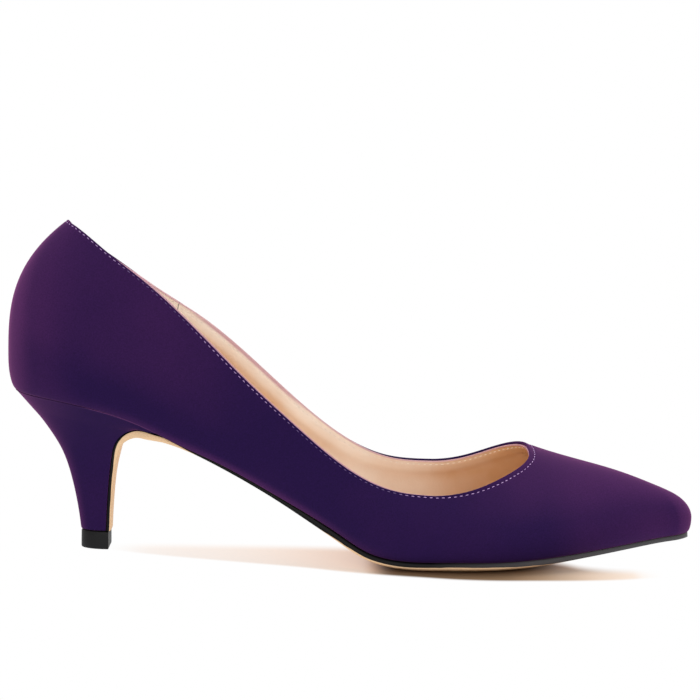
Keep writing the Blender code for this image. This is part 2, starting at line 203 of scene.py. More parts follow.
# The sock over the insole: thickness, how far it keeps inside the feather line, and more at both ends
SOCK_THICKNESS = 2.5
SOCK_LIFT = 0.3
SOCK_INSET = 0.7
SOCK_BEVEL = 0.6
SOCK_BACK_INSET = 4.2
SOCK_TOE_INSET = 6.0
SOCK_TOE_TAPER = 25.0
SOCK_EDGE_DROP = 0.35
SOCK_EDGE_FROM = 0.93
SOCK_DISH = 0.5

# Where the lining's heel piece overlaps the front piece, as the x of the seam at the topline, how far that
# seam leans back below it, its step and half the length of that, and the dark line at its foot: half its
# width, and its tone
LINING_SEAM = 60.8
LINING_SEAM_LEAN = 0.15
LINING_SEAM_STEP = 0.3
LINING_SEAM_SOFT = 1.0
LINING_SEAM_LINE = 0.22
LINING_SEAM_TONE = 0.45
# Painted shade darkens the lining from here to here towards the toe, from the middle of the shoe
LINING_TOE_SHADE = (5.0, 55.0)

# The lining's cut edge: how much of it shows over the nubuck on the lateral side, how far it may stand up
# for that, and how far it lies below the nubuck's edge elsewhere
LINING_SHOWS = 0.36
LINING_PROUD = 0.7
LINING_SUNK = 0.08
# It stands up so where the topline faces a side and has left the back; the least slope it is worked out for
PROUD_SIDE = (0.3, 0.8)
PROUD_FROM = (34, 48)
LEAST_SLOPE = 0.4
# On the medial side the edge stands up behind the throat, and takes less dye
MEDIAL_PROUD = 0.5
MEDIAL_PROUD_ENDS = (120, 150)
MEDIAL_EDGE = 0.75
# The nubuck's dye runs down the lining's face from its edge: how far on the medial side and at the back,
# its strength on the medial side, what counts as that side, and where along the shoe it runs
DYE_RUN = 0.5
DYE_RUN_BACK = 2.5
DYE_STRENGTH = 0.8
DYE_SIDE = (0.0, 0.5)
DYE_COMES = (62, 74)
DYE_GOES = (98, 112)
DYE_BACK_GOES = (15, 30)

# The fold of the nubuck inside the edge pushes the lining out: where that rises and falls away below the
# topline, and how far out it stands
FOLD_RISES = (0.2, 1.8)
FOLD_FALLS = (3.4, 6.4)
FOLD_BULGE = 0.45
# Painted shade darkens the trough under the fold: how far below the topline it lies, half its width, its
# tone, and how much of it fades between which places towards the throat
FOLD_TROUGH = 6.2
FOLD_TROUGH_WIDTH = 2.6
FOLD_SHADE_TONE = 0.75
FOLD_FADES = [(0.7, 95, 130), (0.3, 150, 185)]

# Soft hollows and swells of the nubuck: x and z of the middle, half sizes along and across,
# the turn of the long axis, how far out it stands, and its side
Swell = namedtuple("Swell", "x z along across turn out side")
SWELLS = [
    Swell(214, 20.0, 16.0, 2.2, math.radians(-38), 0.10, -1),
    Swell(221, 16.5, 15.0, 3.0, math.radians(-38), -0.09, -1),
    Swell(178, 19.0, 13.0, 5.0, math.radians(55), -0.12, -1),
    Swell(150, 16.0, 14.0, 4.0, math.radians(70), -0.12, -1),
    Swell(96, 45.0, 20.0, 6.0, math.radians(-45), -0.15, -1),
    Swell(40, 78.0, 22.0, 9.0, math.radians(75), -0.18, -1),
    Swell(12, 88.0, 26.0, 4.0, math.radians(80), 0.12, -1),
    Swell(206, 20.0, 15.0, 2.6, math.radians(-40), -0.10, 1),
    Swell(170, 18.0, 14.0, 5.0, math.radians(60), -0.12, 1),
    Swell(92, 48.0, 20.0, 6.0, math.radians(-45), -0.15, 1),
    Swell(40, 78.0, 22.0, 9.0, math.radians(75), -0.18, 1),
]

# The swells fade in this far below the topline, and as far as the surface turns to their side
SWELL_BELOW = (3.0, 12.0)
SWELL_SIDE = (0.0, 0.35)

# The turned edge is this much fuller, down to this depth; the width of the trough along the back seam
EDGE_FULLER = 0.1
EDGE_FULLER_DEPTH = 0.7
BACK_SEAM_WIDTH = 0.5

# Painted light on the nubuck where it faces the lamps or the bright floor: how much; which way the surface
# faces there, and how much of it faces that way where the light begins and where it is full; where along the
# shoe it comes in, and where it goes out
Nap = namedtuple("Nap", "raised facing begin full comes goes")
BACK = (-1, 0, 0)
FRONT = (1, 0, 0)
UP = (0, 0, 1)
DOWN = (0, 0, -1)
ANY_WAY = (0, 0, 0)
UPPER_LIGHT_PAINT = [
    Nap(0.7, BACK, 0.55, 0.9, None, (30, 50)),
    Nap(0.22, BACK, 0.0, 0.5, None, (30, 50)),
    Nap(0.22, UP, 0.0, 0.18, None, (55, 100)),
    Nap(0.45, UP, 0.5, 1.0, (150, 190), None),
    Nap(0.8, FRONT, 0.2, 1.0, (215, 245), None),
    Nap(0.18, ANY_WAY, -1.0, 0.0, (195, 215), None),
    Nap(0.6, DOWN, 0.15, 0.5, (12, 90), (100, 150)),
]
HEEL_LIGHT_PAINT = [
    Nap(0.72, BACK, 0.4, 0.95, None, None),
    Nap(0.3, DOWN, 0.25, 0.6, None, (8, 30)),
]

# Distances of the skin's rows below the topline, and the shortest column that holds them in full
EDGE_ROWS = np.array([0.0, 0.3, 0.6, 0.9, 1.2, 1.5, 1.8, 2.2, 2.7, 3.3, 4.0, 4.8, 5.7, 6.8, 8.2])
EDGE_ROOM = 30.0

# Stitches: how much deeper they run round the throat, and from where; how deep they run on the lining; the
# width of the trough they pull in; how far they stand off the surface, how flat the thread lies, how far a
# stitch's ends bow down in half its height, how much each may turn, and the seed of those turns
STITCH_DEEPER = 1.2
STITCH_DEEPER_FROM = 150.0
LINING_STITCH_INSET = 0.9
STITCH_TROUGH = 0.4
STITCH_LIFT = 0.04
THREAD_FLATNESS = 0.7
STITCH_BOW = 0.8
STITCH_WANDER = math.radians(5)
STITCH_SEED = 7

# Painted shade on the thread along the shoe: share of the length and amount
THREAD_SHADE = [
    (0.0, 0.2), (0.15, 0.3), (0.19, 0.9), (0.265, 0.95), (0.3, 0.3), (0.38, 0.3), (0.44, 0.95), (0.56, 0.85),
    (0.61, 0.1), (1.0, 0.0)]

# The photograph's view: a long lens a little above the shoe, square to its side
CAMERA_TARGET = Vector((-0.7, 0.0, 74.65)) * MM
CAMERA_DISTANCE = 1.1
CAMERA_ELEVATION = math.radians(8.5)
CAMERA_YAW = math.radians(1.0)
CAMERA_ROLL = math.radians(0.8)
CAMERA_LENS = 155.0
CAMERA_SENSOR = 36.0

# Studio: a white paper floor, and a sky that is dimmer on the camera's side
FLOOR_HALF = 16.0
SKY_COLOUR = (1.0, 0.95, 0.9)
SKY_NEAR = 0.3
SKY_FAR = 1.3
# Its lamps, one overhead a little behind the shoe and a low one from the front: strength, how wide each
# looks, and its turn from straight down
Lamp = namedtuple("Lamp", "name strength spread turn")
LAMPS = [
    Lamp("overhead", 1.5, math.radians(40), math.radians(-14)),
    Lamp("front", 1.3, math.radians(60), math.radians(76)),
]

# The painted shade on the floor, by share of the length: how far towards the camera it begins and how far it
# reaches, its strength, and how far it has turned from the light to the deep colour; the reach at 1, and
# how soft its far and near lines are
SHADE_BEGIN = [(0.0, 0.0), (0.7, 0.02), (0.75, 0.1), (0.806, 0.32), (0.863, 0.52), (0.905, 0.56), (1.0, 0.6)]
SHADE_REACH = [
    (0.0, 0.0), (0.13, 0.0), (0.15, 0.1), (0.226, 0.27), (0.345, 0.46), (0.432, 0.59), (0.518, 0.75),
    (0.6, 0.85), (0.69, 0.92), (0.772, 0.9), (0.858, 0.85), (0.924, 0.76), (1.0, 0.6)]
SHADE_STRENGTH = [
    (0.0, 0.0), (0.13, 0.0), (0.22, 0.23), (0.34, 0.33), (0.46, 0.5), (0.518, 0.62), (0.57, 1.0), (0.75, 1.0),
    (0.805, 0.9), (0.862, 0.7), (0.905, 0.5), (0.955, 0.0), (1.0, 0.0)]
SHADE_DEEPNESS = [
    (0.0, 0.0), (0.51, 0.0), (0.57, 0.95), (0.7, 1.0), (0.75, 0.9), (0.805, 0.7), (0.862, 0.4), (1.0, 0.0)]
SHADE_LIGHT = "#FAD7B5"
SHADE_DEEP = "#816952"
SHADE_DEPTH = 50.0
SHADE_FAR = 7.0
SHADE_EDGE = 2.0

# How finely the surfaces are divided; the sole's first cut lies a part of one step behind the toe's tip
HEEL_COLUMNS = 30
HEEL_CROWDING = 1.5
SIDE_COLUMNS = 76
THROAT_COLUMNS = 44
VAMP_COLUMNS = 38
VAMP_CROWDING = 1.6
TOE_COLUMNS = 22
CURL_ROWS = 9
WALL_ROWS = 26
WALL_SAMPLES = 240
RIM_STEPS = 8
TOPLINE_SAMPLES = 8
SOLE_STATIONS = 150
SOLE_FIRST = 0.3
SOCK_STATIONS = 110
FLAP_LEVELS = 6
HEEL_STEPS = 30
SOLE_ACROSS = np.array([-1.0, -0.985, -0.96, -0.92, -0.86, -0.77, -0.64, -0.46, -0.24, 0.0])
SHARP_EDGE = math.radians(50)
MERGE = 1e-7
TINY = 1e-12

Stop = namedtuple("Stop", "ends clear edge crown flatness paint")
Skin = namedtuple("Skin", "points normals faces topline feather away below nearest")


def linear(hex_colour):
    """An sRGB hex colour as linear red, green and blue."""
    channels = [int(hex_colour[i:i + 2], 16) / 255 for i in (1, 3, 5)]
    return tuple(c / 12.92 if c <= 0.04045 else ((c + 0.055) / 1.055) ** 2.4 for c in channels)


def per_mm(size):
    """The scale of a texture on metre coordinates whose features are this many millimetres."""
    return 1 / (size * MM)


def length_property(name, description, size):
    """A length in millimetres that a user may change."""
    return bpy.props.FloatProperty(name=name, description=description, default=size * MM, unit="LENGTH")


def colour_property(name, description, hex_colour):
    """A colour that a user may change."""
    return bpy.props.FloatVectorProperty(
        name=name, description=description, subtype="COLOR", default=linear(hex_colour))


class PumpSizes(bpy.types.PropertyGroup):
    """Sizes of the sewn upper that a user would change."""

    nubuck: length_property("Nubuck", "Thickness of the nubuck", 1.0)
    lining: length_property("Lining", "Thickness of the lining", 0.75)
    stitch_inset: length_property("Stitch inset", "Stitches below the turned edge", 0.4)
    stitch_pitch: length_property("Stitch pitch", "From one stitch to the next", 2.2)
    stitch_length: length_property("Stitch length", "Visible length of one stitch", 1.25)
    stitch_width: length_property("Thread width", "Width of the thread", 0.28)
    stitch_sink: length_property("Stitch sink", "How far the seam is pulled in", 0.2)
    back_seam: length_property("Back seam", "Depth of the seam up the back", 0.3)


class PumpColours(bpy.types.PropertyGroup):
    """Colours of the pump's finishes."""

    # The nubuck's own colour, and its lit copy that painted light mixes towards where the surface faces the
    # lamps
    nubuck: colour_property("Nubuck", "Nap brushed flat", "#23113F")
    nubuck_lit: colour_property("Nubuck, raised", "Nap brushed up", "#4D2457")
    nubuck_sheen: colour_property("Nubuck sheen", "Tint of the nap's edge light", "#E878C8")
    # The colour of the painted highlight along the roll under the heel's seat
    nubuck_highlight: colour_property("Nubuck, rubbed", "Nap worn pale", "#603668")
    lining: colour_property("Lining", "Lining leather", "#F6E8DA")
    # The lining's random mottle and its painted shade, towards the toe and under the fold, darken towards
    # this
    lining_deep: colour_property("Lining, deep", "Darker tone of the lining", "#D3A67B")
    cut_edge: colour_property("Cut edge", "Raw edge of the lining", "#C08C9F")
    sole: colour_property("Sole", "Underside of the sole", "#E6C39B")
    edge_paint: colour_property("Edge paint", "Paint on the sole's edge", "#0C0B0D")
    # The painted reflection that greys the edge paint round the toe
    edge_paint_reflection: colour_property("Edge paint, reflecting", "Edge paint greyed round the toe", "#4B4A4D")
    top_lift: colour_property("Top-lift", "Hard tip of the heel", "#101011")
    thread: colour_property("Thread", "Thread outside", "#CFA9E4")
    # The thread's painted shade
    thread_shade_colour: colour_property("Thread, dusted", "Thread with nubuck dust on it", "#4C3370")
    lining_thread: colour_property("Lining thread", "Thread inside", "#FFF4E2")


def spline(rows, column):
    """A natural cubic through one column of a table, as a function of the table's first column."""
    at = np.array([row[0] for row in rows], float)
    value = np.array([getattr(row, column) for row in rows], float)
    step = np.diff(at)
    count = len(rows)
    system = np.eye(count)
    right = np.zeros(count)
    for i in range(1, count - 1):
        system[i, i - 1:i + 2] = step[i - 1], 2 * (step[i - 1] + step[i]), step[i]
        right[i] = 6 * ((value[i + 1] - value[i]) / step[i] - (value[i] - value[i - 1]) / step[i - 1])
    bend = np.linalg.solve(system, right)

    def curve(x):
        i = np.clip(np.searchsorted(at, x) - 1, 0, count - 2)
        before, after, h = x - at[i], at[i + 1] - x, step[i]
        cubic = (bend[i] * after ** 3 + bend[i + 1] * before ** 3) / (6 * h)
        start = (value[i] / h - bend[i] * h / 6) * after
        end = (value[i + 1] / h - bend[i + 1] * h / 6) * before
        return cubic + start + end

    return curve


def splines(rows):
    """Every column of a table but the first, as curves by name."""
    return {column: spline(rows, column) for column in rows[0]._fields[1:]}


last = splines(LAST)
topline = splines(TOPLINE)
sole = splines(SOLE)
heel = splines(HEEL)


def side_name(side):
    return "medial" if side > 0 else "lateral"


def smooth_step(value, start, end):
    """0 before start, 1 after end, and a soft rise between."""
    t = np.clip((value - start) / (end - start), 0.0, 1.0)
    return t * t * (3 - 2 * t)


def end_round(x):
    """How far the plan has opened out at x: 0 at both ends of the last, 1 along its middle."""
    heel_part = np.maximum(0.0, 1 - x / HEEL_RADIUS)
    toe_part = np.maximum(0.0, 1 - (LENGTH - x) / TOE_RADIUS)
    return np.sqrt(np.maximum(0.0, (1 - heel_part ** 2) * (1 - toe_part ** 2)))


def feather_height(side, x):
    """Height of the line where the upper meets the sole; side is -1 lateral, 1 medial."""
    return last["feather"](x) + (last["twist"](x) if side > 0 else 0.0)


def half_width(side, x):
    return last[side_name(side)](x) * end_round(x)


def top_share(x):
    """The station whose top edge lies at x."""
    return (x - BACK_LEAN) / (LENGTH - TOE_ROUND - BACK_LEAN)


def seam_angle(side, share):
    """Where the two sides meet on the vamp, as an angle of the section."""
    lean = SEAM_LEAN * min(1.0, (1 - share) / (1 - top_share(THROAT)))
    return QUARTER + side * lean


def topline_angle(side, share):
    """How far up its section the upper goes at a station, as the section's own angle."""
    x = share * LENGTH
    top_x = BACK_LEAN + (LENGTH - TOE_ROUND - BACK_LEAN) * share
    seam = seam_angle(side, share)
    if top_x >= THROAT:
        return seam
    widest = feather_height(side, x) + last["rise"](x)
    reach = last["ridge"](x) - widest
    height = topline[side_name(side)](min(top_x, THROAT_START)) - EDGE_RISE - widest
    side_angle = math.asin((height / reach) ** (last["fullness"](x) / 2))
    if top_x <= THROAT_START:
        return side_angle
    way = (top_x - THROAT_START) / (THROAT - THROAT_START)
    open_share = max(0.0, 1 - way ** THROAT_SQUARENESS) ** (1 / THROAT_SQUARENESS)
    return seam - (seam - side_angle) * open_share


def curl_run(tuck):
    """The length of the curl where it is tucked in this far."""
    return LENGTH - tuck * (1 + TOE_TUCK)


def curl_point(side, share, angle):
    """A point of the curl between the widest line (angle 0) and the feather line below it."""
    x = share * LENGTH
    tuck = CURL * (1 - math.cos(angle))
    y = side * (half_width(side, x) - tuck * end_round(x))
    z = feather_height(side, x) + last["rise"](x) * (1 - math.sin(angle))
    return tuck + curl_run(tuck) * share, y, z


def feather_share(x):
    """The station whose feather point lies at x."""
    tuck = CURL * (1 - math.cos(CURL_ANGLE))
    return (x - tuck) / curl_run(tuck)


def arc_depth(part):
    """How far a circle of radius 1 has fallen back at a height above its middle."""
    return 1 - np.sqrt(1 - part ** 2)


def wall_points(side, column, up):
    """Points of the wall, from the widest line (up 0) to the topline or the seam (up 1)."""
    foot, top = column
    share = foot + (top - foot) * up
    x = share * LENGTH
    top_angle = topline_angle(side, top)
    angle = up * top_angle
    power = 2 / last["fullness"](x)
    ridge_y = last["ridge_side"](x)
    past_ridge = np.cos(angle) < 0
    widest_y = np.where(past_ridge, -side * half_width(-side, x), side * half_width(side, x))
    widest_z = feather_height(side, x) + last["rise"](x)
    rounded = 1 + (power - 1) * (1 - np.sin(angle) ** RIDGE_ROUNDNESS)
    y = ridge_y + (widest_y - ridge_y) * np.abs(np.cos(angle)) ** rounded
    z = widest_z + (last["ridge"](x) - widest_z) * np.sin(angle) ** power
    climbed = (np.sin(angle) / math.sin(top_angle)) ** power
    back = BACK_LEAN * climbed ** BACK_LEAN_POWER
    toe = LENGTH - TOE_ROUND * arc_depth(TOE_ARC * climbed) / arc_depth(TOE_ARC)
    return np.stack([back + (toe - back) * share, y, z], axis=1)


@functools.cache
def columns():
    """Shares of the length at the foot and top of each column of the upper, and the throat's column."""
    heel_end = HEEL_RADIUS / LENGTH
    throat_start = top_share(THROAT_START)
    throat = top_share(THROAT)
    toe_start = 1 - TOE_RADIUS / LENGTH
    crowded = np.linspace(0, 1, HEEL_COLUMNS, endpoint=False) ** HEEL_CROWDING
    upright = list(heel_end * (1 - np.cos(QUARTER * crowded)))
    upright += list(np.linspace(heel_end, throat_start, SIDE_COLUMNS, endpoint=False))
    found = [(share, share) for share in upright]
    for i in range(THROAT_COLUMNS):
        way = math.sin(QUARTER * i / THROAT_COLUMNS) ** (2 / THROAT_SQUARENESS)
        foot = throat_start + (THROAT_FAN - throat_start) * i / THROAT_COLUMNS
        found.append((foot, throat_start + (throat - throat_start) * way))
    throat_column = len(found)
    for i in range(VAMP_COLUMNS):
        way = (i / VAMP_COLUMNS) ** VAMP_CROWDING
        found.append((THROAT_FAN + (toe_start - THROAT_FAN) * way, throat + (toe_start - throat) * way))
    for i in range(TOE_COLUMNS + 1):
        share = toe_start + (1 - toe_start) * math.sin(QUARTER * i / TOE_COLUMNS)
        found.append((share, share))
    return found, throat_column


def column_points(side, column):
    """One column from the feather line up: the curl, then rows that crowd together under the edge."""
    wall = wall_points(side, column, np.linspace(0, 1, WALL_SAMPLES))
    run = np.concatenate([[0.0], np.cumsum(np.linalg.norm(np.diff(wall, axis=0), axis=1))])
    below = EDGE_ROWS * min(1.0, run[-1] / EDGE_ROOM)
    rows = np.linspace(0, run[-1] - below[-1], WALL_ROWS, endpoint=False)
    wanted = np.concatenate([rows, run[-1] - below[::-1]])
    wall_rows = np.stack([np.interp(wanted, run, wall[:, k]) for k in range(3)], axis=1)
    curl = [curl_point(side, column[0], CURL_ANGLE * (1 - i / CURL_ROWS)) for i in range(CURL_ROWS)]
    return np.concatenate([curl, wall_rows])


def unit(vectors):
    return vectors / np.maximum(np.linalg.norm(vectors, axis=1, keepdims=True), TINY)


def vertex_normals(points, faces):
    """Normals of a skin of quads, weighted by area."""
    faces = np.array(faces)
    corners = points[faces]
    facing = np.cross(corners[:, 2] - corners[:, 0], corners[:, 3] - corners[:, 1])
    total = np.zeros_like(points)
    for corner in faces.T:
        np.add.at(total, corner, facing)
    return unit(total)


@functools.cache
def upper_skin():
    """The outside of the lasted upper as an open skin, with its two edges."""
    found, throat_column = columns()
    final = len(found) - 1
    points, faces, grids = [], [], {}
    for side in (-1, 1):
        grid = []
        for i, column in enumerate(found):
            made = column_points(side, column)
            if side > 0 and i in (0, final):
                grid.append(grids[-1][i])
                continue
            shared = side > 0 and i >= throat_column
            kept = made[:-1] if shared else made
            ids = list(range(len(points), len(points) + len(kept)))
            points.extend(kept)
            grid.append(ids + [grids[-1][i][-1]] if shared else ids)
        for near, far in zip(grid, grid[1:]):
            for row in range(len(near) - 1):
                corners = (near[row], far[row], far[row + 1], near[row + 1])
                faces.append(corners if side < 0 else corners[::-1])
        grids[side] = grid
    points = np.array(points)
    top = [grids[-1][i][-1] for i in range(throat_column + 1)]
    top += [grids[1][i][-1] for i in range(throat_column - 1, 0, -1)]
    feather = [grids[-1][i][0] for i in range(final + 1)]
    feather += [grids[1][i][0] for i in range(final - 1, 0, -1)]
    normals = vertex_normals(points, faces)
    along = unit(np.roll(points[top], -1, axis=0) - np.roll(points[top], 1, axis=0))
    away = unit(np.cross(normals[top], along))
    tree = KDTree(len(top) * TOPLINE_SAMPLES)
    ends = np.roll(points[top], -1, axis=0)
    for k in range(TOPLINE_SAMPLES):
        for i, point in enumerate(points[top] + (ends - points[top]) * k / TOPLINE_SAMPLES):
            tree.insert(point, i)
    tree.balance()
    hits = [tree.find(point) for point in points]
    nearest = np.array([index for _, index, _ in hits])
    below = np.array([distance for _, _, distance in hits])
    return Skin(points, normals, faces, top, feather, away, below, nearest)


def shell(skin, outer, inner, proud):
    """Points and faces of a closed layer of the upper between two depths, with a rounded edge along the
    topline that stands proud of it."""
    count = len(skin.points)
    points = [skin.points - skin.normals * depth[:, None] for depth in (outer, inner)]
    faces = list(skin.faces) + [tuple(i + count for i in reversed(face)) for face in skin.faces]
    top = np.array(skin.topline)
    middle, radius = (outer[top] + inner[top]) / 2, (inner[top] - outer[top]) / 2
    rows = [top]
    for i in range(1, RIM_STEPS):
        turn = math.pi * i / RIM_STEPS
        depth = middle - radius * math.cos(turn)
        rise = radius * math.sin(turn) * (EDGE_RISE / radius.max()) + proud
        points.append(skin.points[top] - skin.normals[top] * depth[:, None] + skin.away * rise[:, None])
        rows.append(2 * count + (i - 1) * len(top) + np.arange(len(top)))
    rows.append(top + count)
    for low, high in zip(rows, rows[1:]):
        faces += list(zip(low, np.roll(low, -1), np.roll(high, -1), high))
    foot = np.array(skin.feather)
    after = np.roll(foot, -1)
    faces += list(zip(after, foot, foot + count, after + count))
    return np.concatenate(points), faces


def on_layer(face, rim=None):
    """A layer's values from those of the skin: on both its faces, and round its edge along the topline."""
    edge = face[upper_skin().topline] if rim is None else rim
    return np.concatenate([face, face, np.tile(edge, RIM_STEPS - 1)])


def placed(points):
    """Points in metres, with the origin under the middle of the shoe."""
    return (np.asarray(points, float) - (LENGTH / 2, 0, 0)) * MM


def swelling(points, normals):
    """How far out the listed swells push each point of the upper."""
    total = np.zeros(len(points))
    for swell in SWELLS:
        dx, dz = points[:, 0] - swell.x, points[:, 2] - swell.z
        along = dx * math.cos(swell.turn) + dz * math.sin(swell.turn)
        aside = dz * math.cos(swell.turn) - dx * math.sin(swell.turn)
        shape = np.exp(-(along / swell.along) ** 2 - (aside / swell.across) ** 2)
        total += swell.out * shape * smooth_step(normals[:, 1] * swell.side, *SWELL_SIDE)
    return total


def paint_facing_light(points, normals, brushed):
    """How much painted light the nubuck takes at each point, by which way it faces, from 0 to 1."""
    total = np.zeros(len(points))
    # each row of these tables paints light where the surface faces one way
    for nap in brushed:
        raised = nap.raised * smooth_step(normals @ nap.facing, nap.begin, nap.full)
        if nap.comes:
            raised = raised * smooth_step(points[:, 0], *nap.comes)
        if nap.goes:
            raised = raised * (1 - smooth_step(points[:, 0], *nap.goes))
        total += raised
    return np.clip(total, 0.0, 1.0)


def stitch_insets(sizes):
    """How far below the turned edge the stitches run at each point of the topline."""
    skin = upper_skin()
    round_throat = smooth_step(skin.points[skin.topline, 0], STITCH_DEEPER_FROM, THROAT)
    return sizes.stitch_inset / MM + STITCH_DEEPER * round_throat


def nubuck_layer(sizes):
    """The nubuck: pulled in along the stitches, full at the turned edge, sunk at the back seam."""
    skin = upper_skin()
    inset = stitch_insets(sizes)[skin.nearest]
    pulled = sizes.stitch_sink / MM * np.exp(-((skin.below - inset) / STITCH_TROUGH) ** 2)
    full = EDGE_FULLER * np.exp(-(skin.below / EDGE_FULLER_DEPTH) ** 2)
    at_back = (skin.points[:, 0] < HEEL_RADIUS).astype(float)
    seam = sizes.back_seam / MM * at_back * np.exp(-(skin.points[:, 1] / BACK_SEAM_WIDTH) ** 2)
    swollen = smooth_step(skin.below, *SWELL_BELOW) * swelling(skin.points, skin.normals)
    outer = pulled - full + seam - swollen
    inner = np.full(len(skin.points), sizes.nubuck / MM)
    return shell(skin, outer, inner, np.zeros(len(skin.topline)))


def along_lining():
    """How far along each point of the skin lies, by lines that lean as the lining's side seam does."""
    points = upper_skin().points
    return points[:, 0] - LINING_SEAM_LEAN * (points[:, 2] - topline["medial"](LINING_SEAM))


def lining_layer(sizes):
    """The lining: swollen over the nubuck's fold below the edge, and stepped at its side seams. Its cut
    edge stands high enough on the lateral side to show as a line over the nubuck's."""
    skin = upper_skin()
    outer = np.full(len(skin.points), sizes.nubuck / MM + GAP)
    bulge = FOLD_BULGE * (1 - smooth_step(skin.below, *FOLD_FALLS)) * smooth_step(skin.below, *FOLD_RISES)
    past_seam = smooth_step(along_lining() - LINING_SEAM, -LINING_SEAM_SOFT, LINING_SEAM_SOFT)
    inner = outer + sizes.lining / MM + bulge + LINING_SEAM_STEP * (1 - past_seam)
    normals = skin.normals[skin.topline]
    sight = np.array([0.0, math.sin(CAMERA_ELEVATION), math.cos(CAMERA_ELEVATION)])
    behind = (sizes.nubuck + sizes.lining) / MM / 2 + GAP
    rise = (LINING_SHOWS + behind * normals @ sight) / np.maximum(skin.away @ sight, LEAST_SLOPE)
    x = skin.points[skin.topline, 0]
    past_back = smooth_step(x, *PROUD_FROM)
    lateral = smooth_step(-normals[:, 1], *PROUD_SIDE) * past_back
    medial = smooth_step(normals[:, 1], *PROUD_SIDE) * past_back * (1 - smooth_step(x, *MEDIAL_PROUD_ENDS))
    proud = lateral * np.clip(rise, 0.0, LINING_PROUD) + medial * MEDIAL_PROUD
    proud -= (1 - lateral) * (1 - medial) * LINING_SUNK
    return shell(skin, outer, inner, proud)


def dyed_edge():
    """How much of the nubuck's dye the lining has taken at its cut edge and on its face just below it."""
    skin = upper_skin()
    x = skin.points[:, 0]
    medial = smooth_step(skin.normals[:, 1], *DYE_SIDE)
    behind = (1 - smooth_step(x, *DYE_BACK_GOES)) * np.exp(-(skin.below / DYE_RUN_BACK) ** 2)
    beside = medial * smooth_step(x, *DYE_COMES) * (1 - smooth_step(x, *DYE_GOES))
    face = np.maximum(behind, DYE_STRENGTH * beside * np.exp(-(skin.below / DYE_RUN) ** 2))
    return on_layer(face, 1 - (1 - MEDIAL_EDGE) * medial[skin.topline])


def lining_fold_shade():
    """Painted shade in the trough under the lining's fold, which fades towards the throat."""
    skin = upper_skin()
    trough_shade = np.exp(-((skin.below - FOLD_TROUGH) / FOLD_TROUGH_WIDTH) ** 2)
    trough_shade *= 1 - sum(part * smooth_step(skin.points[:, 0], start, end) for part, start, end in FOLD_FADES)
    return on_layer(trough_shade, np.zeros(len(skin.topline)))


def make_piece(name, points, faces, material, nodes=(), attributes=None, closed_skin=False):
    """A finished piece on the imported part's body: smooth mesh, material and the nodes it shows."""
    mesh = bpy.data.meshes.new(name)
    mesh.from_pydata(placed(points).tolist(), [], [tuple(int(i) for i in face) for face in faces])
    for attribute, values in (attributes or {}).items():
        mesh.attributes.new(attribute, "FLOAT", "POINT").data.foreach_set("value", np.asarray(values, float))
    bm = bmesh.new()
    bm.from_mesh(mesh)
    bmesh.ops.remove_doubles(bm, verts=bm.verts, dist=MERGE)
    if closed_skin:
        bmesh.ops.recalc_face_normals(bm, faces=bm.faces)
    bm.to_mesh(mesh)
    bm.free()
    return dress(name, mesh, material, nodes)


def dress(name, mesh, material, nodes=()):
    """Makes a mesh a piece of the pump."""
    if not mesh.polygons:
        raise RuntimeError(f"{name} has no faces")
    mesh.materials.clear()
    mesh.materials.append(material)
    mesh.shade_smooth()
    mesh.set_sharp_from_angle(angle=SHARP_EDGE)
    piece = bpy.data.objects.new(name, mesh)
    bpy.context.scene.collection.objects.link(piece)
    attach(piece, BODY)
    if nodes:
        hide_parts(*nodes)
    return piece


def loft(rings):
    """Points and faces of a closed skin over rings of equal length, closed at both ends by strips."""
    rings = np.array(rings, float)
    stops, count = rings.shape[:2]
    ids = np.arange(stops * count).reshape(stops, count)
    faces = []
    for low, high in zip(ids, ids[1:]):
        faces += list(zip(low, np.roll(low, -1), np.roll(high, -1), high))
    for ring in (ids[0], ids[-1]):
        faces += [(ring[i], ring[i + 1], ring[-2 - i], ring[-1 - i]) for i in range(count // 2 - 1)]
    return rings.reshape(-1, 3), faces


def across(share, inset, drop):
    """The two feather points at a station, moved in by inset and down by drop."""
    found = []
    for side in (-1, 1):
        x, y, z = curl_point(side, share, CURL_ANGLE)
        found.append((x, y - side * inset * end_round(share * LENGTH), z - drop))
    return np.array(found)


def between(ends, share):
    """A point between two, share running from -1 to 1."""
    return ends[0] + (ends[1] - ends[0]) * (share + 1) / 2


def full_width():
    """Shares across a piece from -1 to 1, close together at its edges."""
    return np.concatenate([SOLE_ACROSS, -SOLE_ACROSS[-2::-1]])


def end_crowded(count):
    """Shares of the length that crowd together at both ends, without the ends themselves."""
    return 0.5 - 0.5 * np.cos(np.pi * (np.arange(count) + 0.5) / count)


def sock_rings():
    """Rings of the sock from heel to toe, dished along its middle and rounded down at its edge."""
    rings = []
    for share in end_crowded(SOCK_STATIONS):
        low = across(share, SOCK_INSET + SOCK_BEVEL, -SOCK_LIFT)
        high = across(share, SOCK_INSET, -SOCK_LIFT - SOCK_THICKNESS)
        top = np.array([between(high, j) for j in full_width()])
        edge = np.abs(full_width())
        top[:, 2] -= SOCK_EDGE_DROP * smooth_step(edge, SOCK_EDGE_FROM, 1.0) + SOCK_DISH * (1 - edge ** 2)
        ring = np.concatenate([top, [between(low, -j) for j in full_width()]])
        x = ring[0][0]
        x += SOCK_BACK_INSET * max(0.0, 1 - x / HEEL_RADIUS)
        x -= SOCK_TOE_INSET * max(0.0, 1 - (LENGTH - x) / SOCK_TOE_TAPER)
        here = between(across(feather_share(x), 0.0, 0.0), 0)
        ring[:, 2] += here[2] - between(across(share, 0.0, 0.0), 0)[2]
        ring[:, 0] = x
        rings.append(ring)
    return rings


